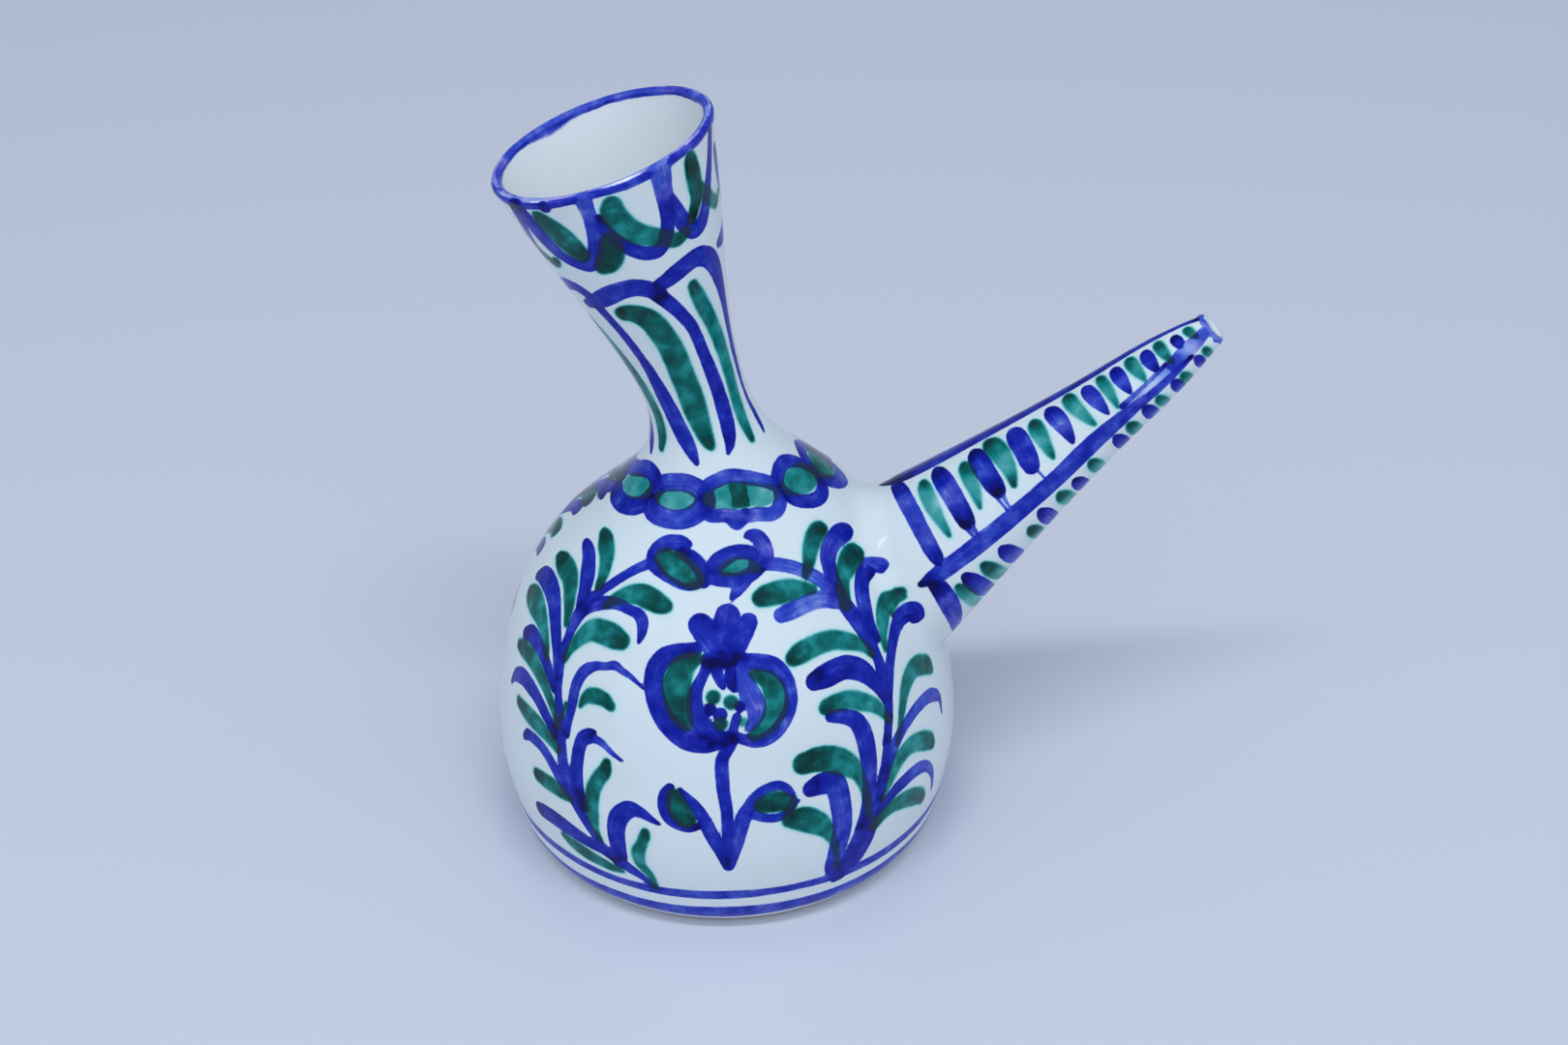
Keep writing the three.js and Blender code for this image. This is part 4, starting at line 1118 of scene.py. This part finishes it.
class Tree:
    """Short ways to add nodes to a material or world."""

    def __init__(self, owner):
        owner.use_nodes = True
        self.tree = owner.node_tree
        self.tree.nodes.clear()

    def add(self, kind, **settings):
        node = self.tree.nodes.new(kind)
        for name, value in settings.items():
            setattr(node, name, value)
        return node

    def feed(self, socket, value):
        if isinstance(value, bpy.types.NodeSocket):
            self.tree.links.new(value, socket)
        else:
            socket.default_value = value

    def fed(self, node, values):
        """Feeds a node's inputs in order, and gives its first output."""
        for socket, value in zip(node.inputs, values):
            self.feed(socket, value)
        return node.outputs[0]

    def math(self, operation, *values, clamp=False):
        return self.fed(self.add("ShaderNodeMath", operation=operation, use_clamp=clamp), values)

    def vector_math(self, operation, *values):
        return self.fed(self.add("ShaderNodeVectorMath", operation=operation), values)

    def centred(self, value, spread):
        """A noise value, which lies between 0 and 1, spread evenly about 0."""
        return self.math("MULTIPLY_ADD", value, spread, -spread / 2)

    def step(self, value, low, high):
        """Smooth rise from 0 at low to 1 at high."""
        node = self.add("ShaderNodeMapRange", interpolation_type="SMOOTHSTEP")
        for socket, end in zip(node.inputs[1:5], (low, high, 0, 1)):
            socket.default_value = end
        self.feed(node.inputs[0], value)
        return node.outputs[0]

    def noise(self, vector, scale, detail=2.0, roughness=0.5):
        node = self.add("ShaderNodeTexNoise")
        self.feed(node.inputs["Vector"], vector)
        node.inputs["Scale"].default_value = scale
        node.inputs["Detail"].default_value = detail
        node.inputs["Roughness"].default_value = roughness
        return node.outputs[0]

    def attribute(self, name, output="Fac"):
        return self.add("ShaderNodeAttribute", attribute_name=name).outputs[output]

    def ramp(self, factor, stops):
        node = self.add("ShaderNodeValToRGB")
        self.feed(node.inputs[0], factor)
        elements = node.color_ramp.elements
        while len(elements) < len(stops):
            elements.new(0.5)
        for element, (place, colour) in zip(elements, stops):
            element.position = place
            element.color = (*colour, 1)
        return node.outputs[0]

    def mix(self, factor, first, second, blend="MIX"):
        node = self.add("ShaderNodeMix", data_type="RGBA", blend_type=blend)
        self.feed(node.inputs[0], factor)
        self.feed(node.inputs[MIX_FIRST], first)
        self.feed(node.inputs[MIX_SECOND], second)
        return node.outputs[MIX_RESULT]

    def tint(self, factor, colour, filter_colour):
        """A colour seen through another, as far as the factor goes."""
        return self.mix(factor, colour, self.mix(1.0, colour, filter_colour, "MULTIPLY"))


# Colours are linear. The ramps run from no paint to a thick coat, and filter the colour of the glaze.
GLAZE = (0.715, 0.785, 0.795, 1)
GLAZE_WARM = (0.705, 0.765, 0.765, 1)
GLAZE_INSIDE = (0.77, 0.79, 0.795, 1)
CLAY = (0.52, 0.25, 0.12, 1)
CLAY_PALE = (0.62, 0.34, 0.18, 1)
BLUE_STOPS = [
    (0.0, (1, 1, 1)),
    (0.15, (0.41, 0.51, 0.96)),
    (0.35, (0.064, 0.105, 0.66)),
    (0.5, (0.015, 0.032, 0.49)),
    (0.68, (0.0025, 0.011, 0.36)),
    (0.85, (0.0008, 0.0025, 0.165)),
    (1.0, (0.0008, 0.0015, 0.07)),
]
GREEN_STOPS = [
    (0.0, (1, 1, 1)),
    (0.12, (0.55, 0.86, 0.86)),
    (0.30, (0.10, 0.45, 0.43)),
    (0.42, (0.018, 0.322, 0.31)),
    (0.55, (0.002, 0.162, 0.146)),
    (0.72, (0.0015, 0.074, 0.065)),
    (1.0, (0.004, 0.02, 0.022)),
]
BOTH = (0.022, 0.05, 0.1, 1)
# Painted reflection: a violet filter laid in clouds on the cobalt, for the surroundings seen in the glaze
REFLECTION_VIOLET = (2.4, 1.25, 1.0, 1)
HALO = (0.84, 0.97, 0.965, 1)

# Softness of the brush marks' edges, in millimetres of reach where the cover starts and where it is full
BLUE_EDGE = (-0.22, 0.32)
GREEN_EDGE = (-0.5, 0.9)
FINE_WOBBLE = 0.24
COARSE_WOBBLE = 0.4

# Thickness of a plain coat, how much it drifts in patches, and how much in the streaks of the hairs
FULL_COAT = 0.58
PATCH_SHARE = 0.78
BLUE_STREAKS = 0.4
GREEN_STREAKS = 0.14
HAIR_SCALE = (1.35, 0.09, 1)

# Scales of the noise that stands for small unevenness and for the clouds of painted reflection, its middle
# value and how much detail it has
FINE_NOISE = 1500
COARSE_NOISE = 330
PATCH_NOISE = 190
REFLECTION_NOISE = 75
BROAD_NOISE = 38
NOISE_MIDDLE = 0.5
RICH_DETAIL = 3
PLAIN_DETAIL = 1
HAIR_ROUGHNESS = 0.6

# Tints: where in a noise or a reach each one rises, and how far it goes
WARM_RISE = (0.42, 0.62)
HALO_RISE = (-1.9, -0.2)
HALO_SHARE = 0.85
# The violet tint is a painted reflection of the surroundings on the blue
REFLECTION_RISE = (0.52, 0.7)
REFLECTION_SHARE = 0.5
BOTH_SHARE = 0.55
BARE_RISE = (0.42, 0.58)
BARE_WOBBLE = 0.6

# Gloss, and the relief of the glaze: ripples, and the rings left by the wheel
GLOSS_ROUGHNESS = 0.06
GLOSS_DRIFT = 0.06
CLAY_ROUGHNESS = 0.7
GLAZE_IOR = 1.5
GLAZE_SPECULAR = 0.11
RIPPLE_NOISE = 190
RIPPLE_ROUGHNESS = 0.45
WHEEL_SCALE = (18, 18, 150)
WHEEL_SHARE = 0.8
RELIEF_STRENGTH = 0.35
RELIEF_DEPTH = 0.06


def paint_density(tree, name, patches, cover, streak_share):
    """How thick one colour lies, with streaks of the brush and patches of pigment."""
    hairs = tree.vector_math("MULTIPLY", tree.attribute(name + "_brush", "Vector"), HAIR_SCALE)
    streak = tree.noise(hairs, 1.0, RICH_DETAIL, HAIR_ROUGHNESS)
    thick = tree.math("MULTIPLY_ADD", tree.math("SUBTRACT", streak, NOISE_MIDDLE), streak_share, FULL_COAT)
    thick = tree.math("MULTIPLY_ADD", tree.math("SUBTRACT", patches, NOISE_MIDDLE), PATCH_SHARE, thick)
    thick = tree.math("MULTIPLY", thick, tree.attribute(name + "_tone"))
    return tree.math("MULTIPLY", thick, cover, clamp=True)


def painted_colour(tree, place, coarse):
    """Colour of the glaze with the two paints sunk into it, and violet clouds of painted reflection on the
    blue.
    """
    fine = tree.noise(place, FINE_NOISE)
    wobble = tree.math("ADD", tree.centred(fine, FINE_WOBBLE), tree.centred(coarse, COARSE_WOBBLE))
    patches = tree.noise(place, PATCH_NOISE, RICH_DETAIL)
    blue_reach = tree.math("ADD", tree.attribute("blue_reach"), wobble)
    blue_cover = tree.step(blue_reach, *BLUE_EDGE)
    blue = paint_density(tree, "blue", patches, blue_cover, BLUE_STREAKS)
    green_reach = tree.math("ADD", tree.attribute("green_reach"), wobble)
    green_cover = tree.step(green_reach, *GREEN_EDGE)
    green = paint_density(tree, "green", patches, green_cover, GREEN_STREAKS)
    white = tree.mix(tree.step(tree.noise(place, BROAD_NOISE), *WARM_RISE), GLAZE, GLAZE_WARM)
    white = tree.mix(tree.attribute("inside"), white, GLAZE_INSIDE)
    halo = tree.math("MULTIPLY", tree.step(green_reach, *HALO_RISE), HALO_SHARE)
    white = tree.tint(halo, white, HALO)
    # Violet clouds laid on the cobalt are a painted reflection of the surroundings in the glaze
    reflection_clouds = tree.noise(place, REFLECTION_NOISE, PLAIN_DETAIL)
    painted_reflection = tree.math("MULTIPLY", tree.step(reflection_clouds, *REFLECTION_RISE), REFLECTION_SHARE)
    cobalt_and_reflection = tree.tint(painted_reflection, tree.ramp(blue, BLUE_STOPS), REFLECTION_VIOLET)
    colour = tree.mix(1.0, white, tree.ramp(green, GREEN_STOPS), "MULTIPLY")
    colour = tree.tint(blue_cover, colour, cobalt_and_reflection)
    both = tree.math("MULTIPLY", tree.math("MULTIPLY", blue_cover, green_cover), BOTH_SHARE)
    return tree.mix(both, colour, BOTH)


def glaze_relief(tree, place):
    """Normals of the glaze, with its ripples and the rings left by the wheel."""
    ripple = tree.noise(place, RIPPLE_NOISE, roughness=RIPPLE_ROUGHNESS)
    wheel = tree.noise(tree.vector_math("MULTIPLY", place, WHEEL_SCALE), 1.0, PLAIN_DETAIL)
    bump = tree.add("ShaderNodeBump")
    bump.inputs["Strength"].default_value = RELIEF_STRENGTH
    bump.inputs["Distance"].default_value = RELIEF_DEPTH * MM
    tree.feed(bump.inputs["Height"], tree.math("MULTIPLY_ADD", wheel, WHEEL_SHARE, ripple))
    return bump.outputs[0]


def glaze_material(name):
    """White tin glaze, painted, with bare clay where a piece has none."""
    material = bpy.data.materials.new(name)
    tree = Tree(material)
    place = tree.add("ShaderNodeTexCoord").outputs["Object"]
    coarse = tree.noise(place, COARSE_NOISE, RICH_DETAIL)
    bare = tree.math("ADD", tree.attribute("bare"), tree.centred(coarse, BARE_WOBBLE))
    bare = tree.step(bare, *BARE_RISE)
    clay = tree.mix(coarse, CLAY, CLAY_PALE)
    gloss = tree.math("MULTIPLY_ADD", coarse, GLOSS_DRIFT, GLOSS_ROUGHNESS)
    shader = tree.add("ShaderNodeBsdfPrincipled")
    shader.inputs["IOR"].default_value = GLAZE_IOR
    shader.inputs["Specular IOR Level"].default_value = GLAZE_SPECULAR
    tree.feed(shader.inputs["Base Color"], tree.mix(bare, painted_colour(tree, place, coarse), clay))
    tree.feed(shader.inputs["Roughness"], tree.math("MULTIPLY_ADD", bare, CLAY_ROUGHNESS, gloss))
    tree.feed(shader.inputs["Normal"], glaze_relief(tree, place))
    tree.feed(tree.add("ShaderNodeOutputMaterial").inputs["Surface"], shader.outputs[0])
    return material


# The jug
SKIN_TOLERANCE = 0.02


def dress(piece, node, material):
    piece.data.materials.clear()
    piece.data.materials.append(material)
    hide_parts(node)
    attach(piece, "root")


def chart_of(points):
    """Chart angle, height and distance from the axis of points of the body."""
    straight = straightened(points)
    angle = np.degrees(np.arctan2(straight[:, 0], -straight[:, 1]))
    return angle, straight[:, 2], np.hypot(straight[:, 0], straight[:, 1])


def finish_body(material):
    piece = make_body()
    angle, height, radius = chart_of(places_in(piece.data))
    skin = (np.abs(radius - outer_at(height)[0]) < SKIN_TOLERANCE) & (height > FOOT_EDGE_HEIGHT / 2)
    set_normals(piece, skin, body_normals(angle, height))
    store_coats(piece, jug_coats(angle, height), skin, bare=height < BARE_CLAY_HEIGHT)
    dress(piece, "body", material)


def finish_neck(material):
    piece, chart, outer_rows = make_neck()
    height = np.repeat(chart, NECK_SEGMENTS)
    angle = np.tile(angles_round(NECK_SEGMENTS), len(chart))
    skin = np.repeat(np.arange(len(chart)) < outer_rows, NECK_SEGMENTS)
    set_normals(piece, skin, body_normals(angle, height))
    store_coats(piece, jug_coats(angle, height), inside=~skin)
    dress(piece, "neck", material)


def finish_neck_luting(material):
    piece = make_neck_luting()
    angle, height, radius = chart_of(places_in(piece.data))
    skin = np.abs(radius - outer_at(height)[0]) < SKIN_TOLERANCE
    set_normals(piece, skin, body_normals(angle, height))
    store_coats(piece, jug_coats(angle, height), skin)
    dress(piece, "neck_luting", material)


def finish_spout(material):
    piece, chart = make_spout()
    angle = np.tile(angles_round(SPOUT_SEGMENTS), len(chart))
    store_coats(piece, spout_coats(angle, chart.ravel()))
    dress(piece, "spout", material)


def finish_spout_luting(material):
    """The fillet, smooth with body and spout where it meets them, under the paint of both."""
    piece = make_spout_luting()
    points = places_in(piece.data)
    on_wall = np.arange(len(points)) < SPOUT_SEGMENTS
    on_cone = np.arange(len(points)) // SPOUT_SEGMENTS == FILLET_STEPS
    angle, height, _ = chart_of(points)
    around, along = spout_places(points)
    normals = body_normals(angle, height)
    cone_normals = spout_outward(around) - spout_at(along)[1][:, None] * SPOUT_AXIS
    cone_normals /= np.linalg.norm(cone_normals, axis=1, keepdims=True)
    normals[on_cone] = cone_normals[on_cone]
    set_normals(piece, on_wall | on_cone, normals)
    coats = jug_coats(angle, height)
    for coat in coats:
        coat.reach -= FILLET_FADE * np.maximum(outside_body(points), 0)
    for own, other in zip(coats, spout_coats(around, along)):
        ahead = other.reach > own.reach
        own.tone = np.where(ahead, other.tone, own.tone)
        own.brush = np.where(ahead[:, None], other.brush, own.brush)
        own.reach = np.maximum(own.reach, other.reach)
    store_coats(piece, coats)
    dress(piece, "spout_luting", material)


ware = glaze_material("painted_glaze")
slip = glaze_material("painted_glaze_over_slip")
finish_body(ware)
finish_neck(ware)
finish_neck_luting(slip)
finish_spout(ware)
finish_spout_luting(slip)


# Stage, in metres: a pale floor, a soft sky and a long softbox above the camera
FLOOR_SIZE = 6.0
FLOOR_COLOUR = (0.70, 0.70, 0.77, 1)
FLOOR_ROUGHNESS = 0.6
SKY_BRIGHTEST = (0, -0.8, 0.6)
SKY_LOW = (0.34, 0.40, 0.49)
SKY_HIGH = (0.98, 1.11, 1.30)
SKY_RISE = (-0.5, 1.0)
SKY_STRENGTH = 0.72
LAMP_PLACE = (0, -0.61, 1.47)
LAMP_TARGET = (0, 0, 0.1)
LAMP_SIZE = (1.0, 0.12)
LAMP_POWER = 8
LAMP_COLOUR = (0.86, 0.93, 1.0)


def make_floor():
    half = FLOOR_SIZE / 2
    mesh = bpy.data.meshes.new("floor")
    corners = [(-half, -half, 0), (half, -half, 0), (half, half, 0), (-half, half, 0)]
    mesh.from_pydata(corners, [], [(0, 1, 2, 3)])
    floor = bpy.data.objects.new("floor", mesh)
    bpy.context.scene.collection.objects.link(floor)
    material = bpy.data.materials.new("floor_paint")
    tree = Tree(material)
    shader = tree.add("ShaderNodeBsdfPrincipled")
    shader.inputs["Base Color"].default_value = FLOOR_COLOUR
    shader.inputs["Roughness"].default_value = FLOOR_ROUGHNESS
    tree.feed(tree.add("ShaderNodeOutputMaterial").inputs["Surface"], shader.outputs[0])
    mesh.materials.append(material)


def make_light():
    world = bpy.data.worlds.new("sky")
    bpy.context.scene.world = world
    tree = Tree(world)
    towards = tree.add("ShaderNodeVectorMath", operation="DOT_PRODUCT")
    tree.feed(towards.inputs[0], tree.add("ShaderNodeTexCoord").outputs["Generated"])
    tree.feed(towards.inputs[1], SKY_BRIGHTEST)
    sky = tree.ramp(tree.step(towards.outputs["Value"], *SKY_RISE), [(0, SKY_LOW), (1, SKY_HIGH)])
    background = tree.add("ShaderNodeBackground")
    tree.feed(background.inputs["Color"], sky)
    background.inputs["Strength"].default_value = SKY_STRENGTH
    tree.feed(tree.add("ShaderNodeOutputWorld").inputs["Surface"], background.outputs[0])
    lamp = bpy.data.lights.new("overhead", "AREA")
    lamp.shape = "RECTANGLE"
    lamp.size, lamp.size_y = LAMP_SIZE
    lamp.energy = LAMP_POWER
    lamp.color = LAMP_COLOUR
    overhead = bpy.data.objects.new("overhead", lamp)
    overhead.location = LAMP_PLACE
    aim = Vector(LAMP_TARGET) - Vector(LAMP_PLACE)
    overhead.rotation_euler = aim.to_track_quat("-Z", "Y").to_euler()
    bpy.context.scene.collection.objects.link(overhead)


# Camera: fitted to the photograph, with its place in millimetres
CAMERA_PLACE = (20.0, -584.4, 497.2)
CAMERA_PITCH = np.radians(33.67)
CAMERA_ROLL = np.radians(-1.1)
IMAGE_WIDTH = 1620
FOCAL_PIXELS = 2300
SENSOR_WIDTH = 36


def make_camera():
    data = bpy.data.cameras.new("camera")
    data.sensor_fit = "HORIZONTAL"
    data.sensor_width = SENSOR_WIDTH
    data.lens = FOCAL_PIXELS / IMAGE_WIDTH * SENSOR_WIDTH
    ahead = Vector((0, np.cos(CAMERA_PITCH), -np.sin(CAMERA_PITCH)))
    right = Vector((1, 0, 0))
    up = Vector((0, np.sin(CAMERA_PITCH), np.cos(CAMERA_PITCH)))
    across = right * np.cos(CAMERA_ROLL) + up * np.sin(CAMERA_ROLL)
    above = up * np.cos(CAMERA_ROLL) - right * np.sin(CAMERA_ROLL)
    camera = bpy.data.objects.new("camera", data)
    turn = Matrix((across, above, -ahead)).transposed().to_4x4()
    camera.matrix_world = Matrix.Translation(Vector(CAMERA_PLACE) * MM) @ turn
    bpy.context.scene.collection.objects.link(camera)
    bpy.context.scene.camera = camera
    bpy.context.scene.view_settings.view_transform = "Standard"


make_floor()
make_light()
make_camera()
